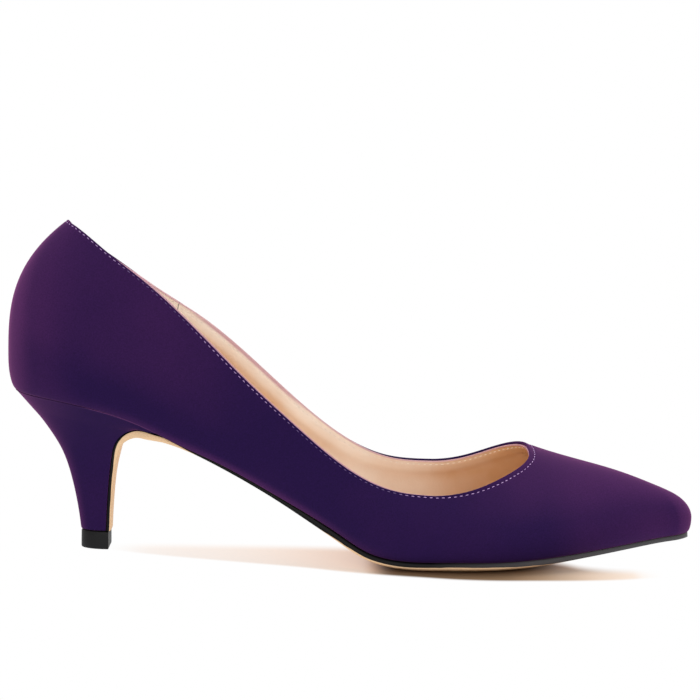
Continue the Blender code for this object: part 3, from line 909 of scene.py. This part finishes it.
def sole_stops():
    """Where the sole is cut: from the toe to the heel's seat, then down the front of the heel."""
    found = []
    first = feather_share(SEAT_FRONT + SOLE_BEFORE_SEAT)
    way = 1 - (np.arange(SOLE_STATIONS) + SOLE_FIRST) / SOLE_STATIONS
    for share in first + (1 - first) * np.sin(QUARTER * way):
        x = share * LENGTH
        ends = across(share, -sole["margin"](x), GAP)
        shape = [sole[name](x) for name in ("edge", "crown", "flatness", "paint")]
        found.append(Stop(ends, 0.0, *shape))
    top = HEEL[-1].level
    for level in np.linspace(top, 0, top * FLAP_LEVELS + 1):
        x, z, half = heel["front"](level), heel["front_z"](level), heel["half_width"](level)
        ends = np.array([(x, -half, z), (x, half, z)])
        flap, paint = heel["flap"](level), heel["paint"](level)
        found.append(Stop(ends, GAP, flap, FLAP_CROWN, FLAP_FLATNESS, paint))
    return found


def sole_rings():
    """Rings of the sole with a trimmed, rounded edge, and how far each point lies past the paint."""
    stops = sole_stops()
    middle = np.array([between(stop.ends, 0) for stop in stops])
    run = np.gradient(middle, axis=0)[:, [0, 2]]
    run /= np.linalg.norm(run, axis=1, keepdims=True)
    rings, past = [], []
    for stop, (run_x, run_z) in zip(stops, run):
        out = np.array([-run_z, 0.0, run_x])
        half = (stop.ends[1][1] - stop.ends[0][1]) / 2
        thin = min(stop.edge / EDGE_FULL_DEPTH, half / 2)
        profile = np.array([(inset * thin, depth * stop.edge) for inset, depth in EDGE_PROFILE])
        lengths = np.concatenate([[0.0], np.cumsum(np.linalg.norm(np.diff(profile, axis=0), axis=1))])
        top = [(j, profile[0][0], 0.0, 0.0) for j in full_width()]
        edge = [(1.0, inset, depth, walked) for (inset, depth), walked in zip(profile[1:-1], lengths[1:-1])]
        bottom = []
        for j in full_width():
            depth = stop.edge + stop.crown * (1 - abs(j) ** stop.flatness)
            bottom.append((j, profile[-1][0], depth, lengths[-1] + (1 - abs(j)) * half))
        ring = top + edge + bottom[::-1] + [(-j, *rest) for j, *rest in edge[::-1]]
        made, beyond = [], []
        for j, inset, depth, walked in ring:
            point = between(stop.ends, j * (1 - inset / half)) + out * (stop.clear + depth)
            point[2] = max(0.0, point[2])
            made.append(point)
            beyond.append(walked - stop.paint)
        rings.append(made)
        past += beyond
    return rings, past


def heel_steps():
    """How far back the points of a heel section lie along one side: 0 at its front, 1 at its back."""
    return np.sin(QUARTER * np.arange(HEEL_STEPS + 1) / HEEL_STEPS)


def heel_outline(front, back, half):
    """A section from its lateral front round the back to its medial front: x, y and how far back."""
    found = []
    for side in (-1, 1):
        for u in heel_steps()[::-side]:
            found.append((front + (back - front) * u, side * half * math.sqrt(1 - u ** HEEL_ROUNDNESS), u))
    return np.array(found)


def heel_ring(level):
    """One section of the heel, sloping from its front to its back and bowed up between them."""
    front_z, back_z = heel["front_z"](level), heel["back_z"](level)
    outline = heel_outline(heel["front"](level), heel["back"](level), heel["half_width"](level))
    u = outline[:, 2]
    bow = HEEL_BOW * (level / HEEL[-1].level) ** 2
    outline[:, 2] = front_z + (back_z - front_z) * u + bow * 4 * u * (1 - u)
    return outline


def seat_ring():
    """The heel's seat, along the feather line; at the back it comes a little way out round the curl."""
    found = []
    for side in (-1, 1):
        for u in heel_steps()[::-side]:
            angle = SEAT_ANGLE * u + QUARTER * (1 - u)
            tuck = CURL * (1 - math.cos(angle))
            x = SEAT_FRONT + (tuck - SEAT_FRONT) * u
            share = (x - tuck) / curl_run(tuck)
            found.append((x, curl_point(side, share, angle)[1], feather_height(side, share * LENGTH) - GAP))
    return np.array(found)


def flared_ring(level):
    """A section of the heel. The upper ones are drawn out straight to the seat behind their front edge."""
    ring, foot = heel_ring(level), heel_ring(FLARE_START)
    way = FLARE_TOP * max(0.0, level - FLARE_START) / (HEEL[-1].level - FLARE_START)
    back = np.concatenate([heel_steps(), heel_steps()[::-1]])
    drawn = np.minimum(1.0, back / FLARE_EDGE) * (way > 0)
    return ring + (foot + (seat_ring() - foot) * way - ring) * drawn[:, None]


def inset_ring(ring, inset):
    """A ring moved in towards its middle by this much, in plan."""
    middle = (ring.max(axis=0) + ring.min(axis=0)) / 2
    out = (ring - middle) * (1, 1, 0)
    size = np.linalg.norm(out, axis=1, keepdims=True)
    return ring - out / np.maximum(size, TINY) * np.minimum(inset, size)


def heel_rings():
    """Rings of the heel's cover from the fold at the tip up to the roll under the seat."""
    tip = heel_ring(0)
    rings = [inset_ring(tip, inset) + (0, 0, rise) for rise, inset in TIP_FOLD]
    top = HEEL[-1].level
    rings += [flared_ring(level) for level in np.linspace(0, top, top * FLAP_LEVELS + 1)[1:]]
    low, seat = rings[-1], seat_ring()
    rings += [inset_ring(low + (seat - low) * way, -out) for way, out in SEAT_ROLL]
    return rings


def fill(tree, made, inputs):
    """Fills a node's inputs with values, other nodes' outputs, or the first output of other nodes."""
    for name, value in inputs.items():
        if isinstance(value, bpy.types.Node):
            value = value.outputs[0]
        if isinstance(value, bpy.types.NodeSocket):
            tree.links.new(value, made.inputs[name])
        else:
            made.inputs[name].default_value = value


def node(tree, kind, inputs=None, **settings):
    """Adds a node with its settings and inputs. Of a range's inputs 0 is the value, 1 and 2 are where it runs
    from and to, and 3 and 4 what these become. A mix has its share at 0 and its two colours at 6 and 7."""
    made = tree.nodes.new(kind)
    for name, value in settings.items():
        setattr(made, name, value)
    fill(tree, made, inputs or {})
    return made


def new_finish(name):
    """An empty material with its tree, its shader and its object coordinates."""
    material = bpy.data.materials.new(name)
    material.use_nodes = True
    tree = material.node_tree
    return material, tree, tree.nodes["Principled BSDF"], node(tree, "ShaderNodeTexCoord").outputs["Object"]


def drawn(curve, spots):
    """A node's curve, drawn through given spots."""
    line = curve.mapping.curves[0]
    line.points[0].location = spots[0]
    line.points[1].location = spots[-1]
    for spot in spots[1:-1]:
        line.points.new(*spot)
    curve.mapping.update()
    return curve


def nubuck_finish():
    """Nubuck: grain leather sanded to a short nap. It has no gloss, and painted light makes it redder and
    lighter where the surface faces the lamps or the bright floor; the nap's tips light up red-violet where
    the surface turns away."""
    colours = bpy.context.scene.pump_colours
    material, tree, shader, place = new_finish("sanded_nubuck")
    drift = node(tree, "ShaderNodeTexNoise", {"Vector": place, "Scale": per_mm(34), "Detail": 3.0})
    # the nap is about 0.1 mm long, drawn at 0.5 mm so that it shows
    nap = node(tree, "ShaderNodeTexNoise", {"Vector": place, "Scale": per_mm(0.5), "Detail": 4.0})
    # painted light where the surface faces the lamps or the bright floor, with a random drift of tone
    raised = node(tree, "ShaderNodeAttribute", attribute_name="raised").outputs["Fac"]
    stray = node(tree, "ShaderNodeMapRange", {0: drift, 1: 0.3, 2: 0.7, 3: -0.05, 4: 0.07})
    lie = node(tree, "ShaderNodeMath", {0: raised, 1: stray}, operation="ADD", use_clamp=True)
    body = node(tree, "ShaderNodeMix", {
        0: lie, 6: (*colours.nubuck, 1), 7: (*colours.nubuck_lit, 1)}, data_type="RGBA").outputs[2]
    # a painted highlight along the roll under the heel's seat
    painted_highlight = node(tree, "ShaderNodeAttribute", attribute_name="painted_highlight").outputs["Fac"]
    highlighted = node(tree, "ShaderNodeMix", {
        0: painted_highlight, 6: body, 7: (*colours.nubuck_highlight, 1)}, data_type="RGBA").outputs[2]
    speckle = node(tree, "ShaderNodeMapRange", {0: nap, 1: 0.25, 2: 0.75, 3: 0.8, 4: 1.2})
    colour = node(tree, "ShaderNodeVectorMath", {0: highlighted, "Scale": speckle}, operation="SCALE")
    rough = node(tree, "ShaderNodeMapRange", {0: nap, 3: 0.82, 4: 0.98})
    bump = node(tree, "ShaderNodeBump", {"Height": nap, "Strength": 0.25, "Distance": 0.12 * MM})
    fill(tree, shader, {
        "Base Color": colour, "Roughness": rough, "Normal": bump, "Specular IOR Level": 0.08,
        "Sheen Weight": 0.3, "Sheen Roughness": 0.3, "Sheen Tint": (*colours.nubuck_sheen, 1)})
    return material


def lining_finish():
    """Lining leather: split pigskin dyed cream, with a fine pore and a dull shine. Its cut edge and its face
    just below that have taken some of the nubuck's dye. Painted shade darkens it towards the toe and in the
    trough under the fold."""
    colours = bpy.context.scene.pump_colours
    material, tree, shader, place = new_finish("cream_lining_leather")
    cloud = node(tree, "ShaderNodeTexNoise", {"Vector": place, "Scale": per_mm(18), "Detail": 4.0})
    # pores are 0.3 mm apart, drawn at 0.9 mm so that they show
    pores = node(tree, "ShaderNodeTexVoronoi", {"Vector": place, "Scale": per_mm(0.9)})
    # painted shade, darker towards the toe
    x = node(tree, "ShaderNodeSeparateXYZ", {0: place}).outputs["X"]
    toe_shade = node(tree, "ShaderNodeMapRange", {0: x, 1: LINING_TOE_SHADE[0] * MM, 2: LINING_TOE_SHADE[1] * MM})
    mottle = node(tree, "ShaderNodeMapRange", {0: cloud, 1: 0.35, 2: 0.75, 3: -0.1, 4: 0.25})
    # painted shade in the trough under the fold, with a random mottle
    fold = node(tree, "ShaderNodeAttribute", attribute_name="fold").outputs["Fac"]
    shaded_tone = node(tree, "ShaderNodeMath", {0: fold, 1: FOLD_SHADE_TONE, 2: mottle}, operation="MULTIPLY_ADD")
    tone = node(tree, "ShaderNodeMath", {0: toe_shade, 1: shaded_tone}, operation="ADD", use_clamp=True)
    body = node(tree, "ShaderNodeMix", {
        0: tone, 6: (*colours.lining, 1), 7: (*colours.lining_deep, 1)}, data_type="RGBA").outputs[2]
    along = node(tree, "ShaderNodeAttribute", attribute_name="along").outputs["Fac"]
    seam = node(tree, "ShaderNodeMath", {0: along, 1: LINING_SEAM, 2: LINING_SEAM_LINE}, operation="COMPARE")
    dim = node(tree, "ShaderNodeMapRange", {0: seam, 3: 1.0, 4: LINING_SEAM_TONE})
    sewn = node(tree, "ShaderNodeVectorMath", {0: body, "Scale": dim}, operation="SCALE")
    edge = node(tree, "ShaderNodeAttribute", attribute_name="cut_edge").outputs["Fac"]
    colour = node(tree, "ShaderNodeMix", {
        0: edge, 6: sewn, 7: (*colours.cut_edge, 1)}, data_type="RGBA").outputs[2]
    rough = node(tree, "ShaderNodeMapRange", {0: cloud, 3: 0.45, 4: 0.65})
    bump = node(tree, "ShaderNodeBump", {"Height": pores, "Strength": 0.2, "Distance": 0.1 * MM})
    fill(tree, shader, {
        "Base Color": colour, "Roughness": rough, "Normal": bump, "Specular IOR Level": 0.35})
    return material


def sole_finish():
    """Sole sheet: pressed resin rubber, smooth beige with a fine grain. Its trimmed edge has a coat of black
    acrylic edge paint, put on by hand, which ends in a slightly uneven line; round the toe a painted
    reflection greys it."""
    colours = bpy.context.scene.pump_colours
    material, tree, shader, place = new_finish("painted_resin_sole")
    past = node(tree, "ShaderNodeAttribute", attribute_name="past_paint").outputs["Fac"]
    waver = node(tree, "ShaderNodeTexNoise", {"Vector": place, "Scale": per_mm(7), "Detail": 2.0})
    uneven = node(tree, "ShaderNodeMapRange", {0: waver, 3: -PAINT_WAVER, 4: PAINT_WAVER})
    line = node(tree, "ShaderNodeMath", {0: past, 1: uneven}, operation="ADD")
    bare = node(tree, "ShaderNodeMapRange", {0: line, 1: -PAINT_SOFT, 2: PAINT_SOFT})
    grain = node(tree, "ShaderNodeTexNoise", {"Vector": place, "Scale": per_mm(0.6), "Detail": 3.0})
    shade = node(tree, "ShaderNodeMapRange", {0: grain, 1: 0.3, 2: 0.7, 3: 0.93, 4: 1.04})
    sheet = node(tree, "ShaderNodeVectorMath", {0: colours.sole, "Scale": shade}, operation="SCALE")
    # a painted reflection greys the edge paint towards the toe
    x = node(tree, "ShaderNodeSeparateXYZ", {0: place}).outputs["X"]
    greyed = node(tree, "ShaderNodeMapRange", {0: x, 1: PAINT_REFLECTION[0] * MM, 2: PAINT_REFLECTION[1] * MM})
    paint = node(tree, "ShaderNodeMix", {
        0: greyed, 6: (*colours.edge_paint, 1), 7: (*colours.edge_paint_reflection, 1)}, data_type="RGBA").outputs[2]
    colour = node(tree, "ShaderNodeMix", {0: bare, 6: paint, 7: sheet}, data_type="RGBA").outputs[2]
    rough = node(tree, "ShaderNodeMapRange", {0: bare, 3: 0.34, 4: 0.55})
    bump = node(tree, "ShaderNodeBump", {"Height": grain, "Strength": 0.15, "Distance": 0.08 * MM})
    fill(tree, shader, {
        "Base Color": colour, "Roughness": rough, "Normal": bump, "Specular IOR Level": 0.12})
    return material


def top_lift_finish():
    """Top-lift: injection-moulded hard polyurethane, near black, with a satin skin and a fine grit."""
    colours = bpy.context.scene.pump_colours
    material, tree, shader, place = new_finish("moulded_polyurethane")
    # the mould's grit is 0.15 mm, drawn at 0.4 mm so that it shows
    grit = node(tree, "ShaderNodeTexNoise", {"Vector": place, "Scale": per_mm(0.4), "Detail": 3.0})
    shade = node(tree, "ShaderNodeMapRange", {0: grit, 1: 0.3, 2: 0.7, 3: 0.85, 4: 1.2})
    colour = node(tree, "ShaderNodeVectorMath", {0: colours.top_lift, "Scale": shade}, operation="SCALE")
    rough = node(tree, "ShaderNodeMapRange", {0: grit, 3: 0.4, 4: 0.6})
    bump = node(tree, "ShaderNodeBump", {"Height": grit, "Strength": 0.2, "Distance": 0.06 * MM})
    fill(tree, shader, {
        "Base Color": colour, "Roughness": rough, "Normal": bump, "Specular IOR Level": 0.2})
    return material


def share_along(tree, x):
    """How far along the shoe a place lies, from 0 at its back to 1 at its toe."""
    return node(tree, "ShaderNodeMapRange", {0: x, 1: -LENGTH / 2 * MM, 2: LENGTH / 2 * MM})


def thread_finish(name, fresh, shade_tint):
    """Sewing thread: twisted polyester, pale with a soft lustre and darker between its plies. Painted shade
    darkens it more in some places along the shoe than in others."""
    material, tree, shader, place = new_finish(name)
    plies = node(tree, "ShaderNodeTexNoise", {"Vector": place, "Scale": per_mm(0.25), "Detail": 1.0})
    shade = node(tree, "ShaderNodeMapRange", {0: plies, 1: 0.3, 2: 0.7, 3: 0.75, 4: 1.05})
    # painted shade on the thread, more in some places along the shoe
    share = share_along(tree, node(tree, "ShaderNodeSeparateXYZ", {0: place}).outputs["X"])
    painted_thread_shade = drawn(node(tree, "ShaderNodeFloatCurve", {"Value": share}), THREAD_SHADE)
    body = node(tree, "ShaderNodeMix", {
        0: painted_thread_shade, 6: (*fresh, 1), 7: (*shade_tint, 1)}, data_type="RGBA").outputs[2]
    colour = node(tree, "ShaderNodeVectorMath", {0: body, "Scale": shade}, operation="SCALE")
    bump = node(tree, "ShaderNodeBump", {"Height": plies, "Strength": 0.3, "Distance": 0.05 * MM})
    fill(tree, shader, {"Base Color": colour, "Roughness": 0.5, "Normal": bump})
    return material


def past_line(tree, share, y, spots, soft):
    """How far a place of the floor has passed a drawn line towards the camera, from 0 to 1."""
    line = drawn(node(tree, "ShaderNodeFloatCurve", {"Value": share}), spots)
    short = node(tree, "ShaderNodeMath", {0: line, 1: SHADE_DEPTH * MM, 2: y}, operation="MULTIPLY_ADD")
    return node(tree, "ShaderNodeMapRange", {
        0: short, 1: soft * MM, 2: -soft * MM}, interpolation_type="SMOOTHSTEP")


def floor_finish():
    """Studio floor: matt white paper with a barely visible tooth. It glows plain white but for a painted
    shade beside the shoe, where the lamps light the paper in warm shade colours; that shade ends in a firm
    line towards the camera."""
    material, tree, shader, place = new_finish("white_paper")
    tooth = node(tree, "ShaderNodeTexNoise", {"Vector": place, "Scale": per_mm(2)})
    bump = node(tree, "ShaderNodeBump", {"Height": tooth, "Strength": 0.02, "Distance": 0.1 * MM})
    axes = node(tree, "ShaderNodeSeparateXYZ", {0: place}).outputs
    share = share_along(tree, axes["X"])
    begun = past_line(tree, share, axes["Y"], SHADE_BEGIN, SHADE_FAR)
    ended = past_line(tree, share, axes["Y"], SHADE_REACH, SHADE_EDGE)
    inside = node(tree, "ShaderNodeMath", {0: begun, 1: ended}, operation="SUBTRACT", use_clamp=True)
    strength = drawn(node(tree, "ShaderNodeFloatCurve", {"Value": share}), SHADE_STRENGTH)
    shade = node(tree, "ShaderNodeMath", {0: inside, 1: strength}, operation="MULTIPLY")
    deepness = drawn(node(tree, "ShaderNodeFloatCurve", {"Value": share}), SHADE_DEEPNESS)
    paper = node(tree, "ShaderNodeMix", {
        0: deepness, 6: (*linear(SHADE_LIGHT), 1), 7: (*linear(SHADE_DEEP), 1)}, data_type="RGBA").outputs[2]
    fill(tree, shader, {"Base Color": paper, "Roughness": 0.9, "Normal": bump, "Specular IOR Level": 0.0})
    white = node(tree, "ShaderNodeEmission", {"Color": (1, 1, 1, 1), "Strength": 1.0})
    mixed = node(tree, "ShaderNodeMixShader", {0: shade, 1: white, 2: shader})
    fill(tree, tree.nodes["Material Output"], {"Surface": mixed})
    return material


def stitch_tree():
    """Geometry nodes that lay stitches along a path: short, bowed lengths of thread at an even pitch."""
    tree = bpy.data.node_groups.new("stitches", "GeometryNodeTree")
    inputs = {"Path": "Geometry", "Pitch": "Float", "Length": "Float", "Width": "Float", "Wander": "Float",
              "Seed": "Int", "Thread": "Material"}
    for name, kind in inputs.items():
        tree.interface.new_socket(name, in_out="INPUT", socket_type=f"NodeSocket{kind}")
    tree.interface.new_socket("Stitches", in_out="OUTPUT", socket_type="NodeSocketGeometry")
    given = node(tree, "NodeGroupInput").outputs
    curve = node(tree, "GeometryNodeMeshToCurve", {"Mesh": given["Path"]})
    even = node(tree, "GeometryNodeResampleCurve", {"Curve": curve, "Length": given["Pitch"]}, mode="LENGTH")
    half_length = node(tree, "ShaderNodeMath", {0: given["Length"], 1: 0.5}, operation="MULTIPLY")
    half_thread = node(tree, "ShaderNodeMath", {0: given["Width"], 1: 0.5}, operation="MULTIPLY")
    low = node(tree, "ShaderNodeMath", {0: half_thread, 1: THREAD_FLATNESS}, operation="MULTIPLY")
    size = node(tree, "ShaderNodeCombineXYZ", {"X": half_length, "Y": half_thread, "Z": low})
    bead = node(tree, "GeometryNodeMeshUVSphere", {"Segments": 8, "Rings": 6, "Radius": 1.0})
    where = node(tree, "GeometryNodeInputPosition")
    x = node(tree, "ShaderNodeSeparateXYZ", {0: where}).outputs["X"]
    square = node(tree, "ShaderNodeMath", {0: x, 1: x}, operation="MULTIPLY")
    drop = node(tree, "ShaderNodeMath", {0: square, 1: -STITCH_BOW}, operation="MULTIPLY")
    sink = node(tree, "ShaderNodeCombineXYZ", {"Z": drop})
    bowed = node(tree, "GeometryNodeSetPosition", {"Geometry": bead, "Offset": sink})
    thread = node(tree, "GeometryNodeTransform", {"Geometry": bowed, "Scale": size})
    soft = node(tree, "GeometryNodeSetShadeSmooth", {"Geometry": thread})
    outward = node(tree, "GeometryNodeInputNamedAttribute", {"Name": "outward"}, data_type="FLOAT_VECTOR")
    along = node(tree, "GeometryNodeInputTangent")
    lie = node(tree, "FunctionNodeAxesToRotation", {
        0: outward, 1: along}, primary_axis="Z", secondary_axis="X")
    least = node(tree, "ShaderNodeMath", {0: given["Wander"], 1: -1.0}, operation="MULTIPLY")
    wander = node(tree, "FunctionNodeRandomValue", {
        2: least, 3: given["Wander"], "Seed": given["Seed"]}, data_type="FLOAT").outputs[1]
    turn = node(tree, "FunctionNodeAxisAngleToRotation", {"Axis": (0, 0, 1), "Angle": wander})
    turned = node(tree, "FunctionNodeRotateRotation", {0: lie, 1: turn}, rotation_space="LOCAL")
    laid = node(tree, "GeometryNodeInstanceOnPoints", {"Points": even, "Instance": soft, "Rotation": turned})
    real = node(tree, "GeometryNodeRealizeInstances", {"Geometry": laid})
    dyed = node(tree, "GeometryNodeSetMaterial", {"Geometry": real, "Material": given["Thread"]})
    node(tree, "NodeGroupOutput", {"Stitches": dyed})
    return tree


def stitch_row(name, layer, inset, depth, material):
    """A row of stitches below the topline, on the face of a layer that lies at a depth in the wall."""
    sizes = bpy.context.scene.pump_sizes
    skin = upper_skin()
    points, faces = layer
    surface = BVHTree.FromPolygons(points.tolist(), [tuple(int(i) for i in face) for face in faces])
    top = skin.topline
    wanted = skin.points[top] - skin.away * inset[:, None] - skin.normals[top] * depth
    path, outward = [], []
    for point in wanted:
        place, normal, _, _ = surface.find_nearest(Vector(point))
        path.append(place + normal * STITCH_LIFT)
        outward.append(normal)
    count = len(path)
    mesh = bpy.data.meshes.new(name)
    mesh.from_pydata(placed(path).tolist(), [(i, (i + 1) % count) for i in range(count)], [])
    held = mesh.attributes.new("outward", "FLOAT_VECTOR", "POINT")
    held.data.foreach_set("vector", np.array(outward).ravel())
    guide = bpy.data.objects.new(f"{name}_path", mesh)
    bpy.context.scene.collection.objects.link(guide)
    tree = bpy.data.node_groups.get("stitches") or stitch_tree()
    sewing = guide.modifiers.new("sewing", "NODES")
    sewing.node_group = tree
    values = {
        "Pitch": sizes.stitch_pitch, "Length": sizes.stitch_length, "Width": sizes.stitch_width,
        "Wander": STITCH_WANDER, "Seed": STITCH_SEED, "Thread": material}
    for item in tree.interface.items_tree:
        if item.in_out == "INPUT" and item.name in values:
            sewing[item.identifier] = values[item.name]
    seen = guide.evaluated_get(bpy.context.evaluated_depsgraph_get())
    sewn = bpy.data.meshes.new_from_object(seen)
    guide.modifiers.remove(sewing)
    bpy.data.objects.remove(guide)
    sewn.name = name
    return dress(name, sewn, material)


class PUMP_OT_upper(bpy.types.Operator):
    """Makes the nubuck of the upper, turned over at the topline"""

    bl_idname = "pump.upper"
    bl_label = "Nubuck upper"

    def execute(self, context):
        points, faces = nubuck_layer(context.scene.pump_sizes)
        nubuck = bpy.data.materials.get("sanded_nubuck") or nubuck_finish()
        skin = upper_skin()
        # painted light on the nubuck, by which way it faces
        looks = {"raised": on_layer(paint_facing_light(skin.points, skin.normals, UPPER_LIGHT_PAINT))}
        make_piece("nubuck_upper", points, faces, nubuck, ["upper"], looks)
        return {"FINISHED"}


class PUMP_OT_lining(bpy.types.Operator):
    """Makes the leather lining inside the upper, with its cut edge"""

    bl_idname = "pump.lining"
    bl_label = "Lining"

    def execute(self, context):
        points, faces = lining_layer(context.scene.pump_sizes)
        leather = bpy.data.materials.get("cream_lining_leather") or lining_finish()
        # painted shade in the trough under the fold
        looks = {"cut_edge": dyed_edge(), "along": on_layer(along_lining()), "fold": lining_fold_shade()}
        make_piece("lining", points, faces, leather, ["upper"], looks)
        return {"FINISHED"}


class PUMP_OT_stitches(bpy.types.Operator):
    """Sews the topline: a row of stitches outside, and the same seam's row on the lining"""

    bl_idname = "pump.stitches"
    bl_label = "Topline stitches"

    def execute(self, context):
        sizes = context.scene.pump_sizes
        colours = context.scene.pump_colours
        # each thread takes painted shade along the shoe; inside, the shade colour is the lining's
        outside = thread_finish("lilac_polyester_thread", colours.thread, colours.thread_shade_colour)
        inside = thread_finish("cream_polyester_thread", colours.lining_thread, colours.lining)
        wall = (sizes.nubuck + sizes.lining) / MM + FOLD_BULGE
        inset = stitch_insets(sizes)
        stitch_row("topline_stitches", nubuck_layer(sizes), inset, 0.0, outside)
        inside_inset = np.full(len(inset), LINING_STITCH_INSET)
        stitch_row("lining_stitches", lining_layer(sizes), inside_inset, wall, inside)
        return {"FINISHED"}


class PUMP_OT_sock(bpy.types.Operator):
    """Makes the sock that covers the insole"""

    bl_idname = "pump.sock"
    bl_label = "Sock"

    def execute(self, context):
        leather = bpy.data.materials.get("cream_lining_leather") or lining_finish()
        points, faces = loft(sock_rings())
        make_piece("sock", points, faces, leather, ["insole"], closed_skin=True)
        return {"FINISHED"}


class PUMP_OT_sole(bpy.types.Operator):
    """Makes the sole with its painted edge, and the flap down the front of the heel"""

    bl_idname = "pump.sole"
    bl_label = "Sole"

    def execute(self, context):
        rings, past = sole_rings()
        points, faces = loft(rings)
        make_piece("sole", points, faces, sole_finish(), ["outsole"], {"past_paint": past}, True)
        return {"FINISHED"}


class PUMP_OT_heel(bpy.types.Operator):
    """Makes the heel in its nubuck cover"""

    bl_idname = "pump.heel"
    bl_label = "Covered heel"

    def execute(self, context):
        nubuck = bpy.data.materials.get("sanded_nubuck") or nubuck_finish()
        rings = heel_rings()
        points, faces = loft(rings)
        first = len(rings) - len(SEAT_ROLL)
        # a painted highlight along the roll under the seat
        ring = np.repeat(np.arange(len(rings)), len(rings[0]))
        on_roll = np.isin(ring, [first + i for i in HIGHLIGHT_RINGS])
        painted_highlight = on_roll * smooth_step(points[:, 0], HIGHLIGHT_FROM, HIGHLIGHT_FULL)
        # painted light on the heel's cover, by which way it faces
        normals = vertex_normals(points, faces)
        normals *= np.sign(np.sum(normals * (points - points.mean(axis=0))))
        looks = {"painted_highlight": painted_highlight, "raised": paint_facing_light(points, normals, HEEL_LIGHT_PAINT)}
        make_piece("covered_heel", points, faces, nubuck, ["heel"], looks, True)
        return {"FINISHED"}


class PUMP_OT_top_lift(bpy.types.Operator):
    """Makes the hard tip that the heel stands on"""

    bl_idname = "pump.top_lift"
    bl_label = "Top-lift"

    def execute(self, context):
        rings = []
        for height, inset in TOP_LIFT_RINGS:
            ring = heel_outline(TOP_LIFT_FRONT, TOP_LIFT_BACK, TOP_LIFT_HALF_WIDTH)
            ring[:, 2] = height
            rings.append(inset_ring(ring, inset))
        points, faces = loft(rings)
        moulded = top_lift_finish()
        make_piece("moulded_top_lift", points, faces, moulded, ["top_lift"], closed_skin=True)
        return {"FINISHED"}


class PUMP_OT_stage(bpy.types.Operator):
    """Puts the camera, the floor and the studio light round the pump"""

    bl_idname = "pump.stage"
    bl_label = "Stage"

    def execute(self, context):
        scene = context.scene
        scene.view_settings.view_transform = "Standard"
        floor_mesh = bpy.data.meshes.new("floor")
        corners = [(x * FLOOR_HALF, y * FLOOR_HALF, 0.0) for x, y in ((-1, -1), (1, -1), (1, 1), (-1, 1))]
        floor_mesh.from_pydata(corners, [], [(0, 1, 2, 3)])
        floor_mesh.materials.append(floor_finish())
        floor = bpy.data.objects.new("floor", floor_mesh)
        scene.collection.objects.link(floor)
        world = bpy.data.worlds.new("studio")
        world.use_nodes = True
        tree = world.node_tree
        sky = tree.nodes["Background"]
        place = node(tree, "ShaderNodeTexCoord").outputs["Generated"]
        towards = node(tree, "ShaderNodeSeparateXYZ", {0: place}).outputs["Y"]
        glow = node(tree, "ShaderNodeMapRange", {0: towards, 1: -1.0, 2: 1.0, 3: SKY_NEAR, 4: SKY_FAR})
        fill(tree, sky, {"Color": (*SKY_COLOUR, 1), "Strength": glow})
        scene.world = world
        for lamp in LAMPS:
            light = bpy.data.lights.new(lamp.name, "SUN")
            light.energy = lamp.strength
            light.angle = lamp.spread
            hung = bpy.data.objects.new(lamp.name, light)
            hung.rotation_euler.x = lamp.turn
            scene.collection.objects.link(hung)
        camera_data = bpy.data.cameras.new("camera")
        camera_data.lens = CAMERA_LENS
        camera_data.sensor_width = CAMERA_SENSOR
        camera = bpy.data.objects.new("camera", camera_data)
        camera.matrix_world = camera_place()
        scene.collection.objects.link(camera)
        scene.camera = camera
        return {"FINISHED"}


def camera_place():
    """The camera's place at the photograph's angle, level but for a slight roll."""
    back = Vector((
        math.sin(CAMERA_YAW) * math.cos(CAMERA_ELEVATION),
        -math.cos(CAMERA_YAW) * math.cos(CAMERA_ELEVATION),
        math.sin(CAMERA_ELEVATION)))
    right = Vector((0, 0, 1)).cross(back).normalized()
    up = back.cross(right)
    rolled_right = right * math.cos(CAMERA_ROLL) + up * math.sin(CAMERA_ROLL)
    rolled_up = up * math.cos(CAMERA_ROLL) - right * math.sin(CAMERA_ROLL)
    place = Matrix((rolled_right, rolled_up, back)).transposed().to_4x4()
    place.translation = CAMERA_TARGET + back * CAMERA_DISTANCE
    return place


class PUMP_PT_panel(bpy.types.Panel):
    """Lists what makes the pump, and its sizes and colours"""

    bl_idname = "PUMP_PT_panel"
    bl_label = "Pointed pump"
    bl_space_type = "VIEW_3D"
    bl_region_type = "UI"
    bl_category = "Pump"

    def draw(self, context):
        layout = self.layout
        for operator in OPERATORS:
            layout.operator(operator.bl_idname)
        for group in (context.scene.pump_sizes, context.scene.pump_colours):
            column = layout.column(align=True)
            for name in group.bl_rna.properties.keys():
                if name not in ("rna_type", "name"):
                    column.prop(group, name)


OPERATORS = [
    PUMP_OT_stage, PUMP_OT_upper, PUMP_OT_lining, PUMP_OT_stitches, PUMP_OT_sock, PUMP_OT_sole, PUMP_OT_heel,
    PUMP_OT_top_lift,
]
CLASSES = [PumpSizes, PumpColours, *OPERATORS, PUMP_PT_panel]


def register():
    for item in CLASSES:
        bpy.utils.register_class(item)
    bpy.types.Scene.pump_sizes = bpy.props.PointerProperty(type=PumpSizes)
    bpy.types.Scene.pump_colours = bpy.props.PointerProperty(type=PumpColours)


def unregister():
    del bpy.types.Scene.pump_colours
    del bpy.types.Scene.pump_sizes
    for item in reversed(CLASSES):
        bpy.utils.unregister_class(item)


def main():
    register()
    bpy.ops.pump.stage()
    bpy.ops.pump.upper()
    bpy.ops.pump.lining()
    bpy.ops.pump.stitches()
    bpy.ops.pump.sock()
    bpy.ops.pump.sole()
    bpy.ops.pump.heel()
    bpy.ops.pump.top_lift()


if __name__ == "__main__":
    main()
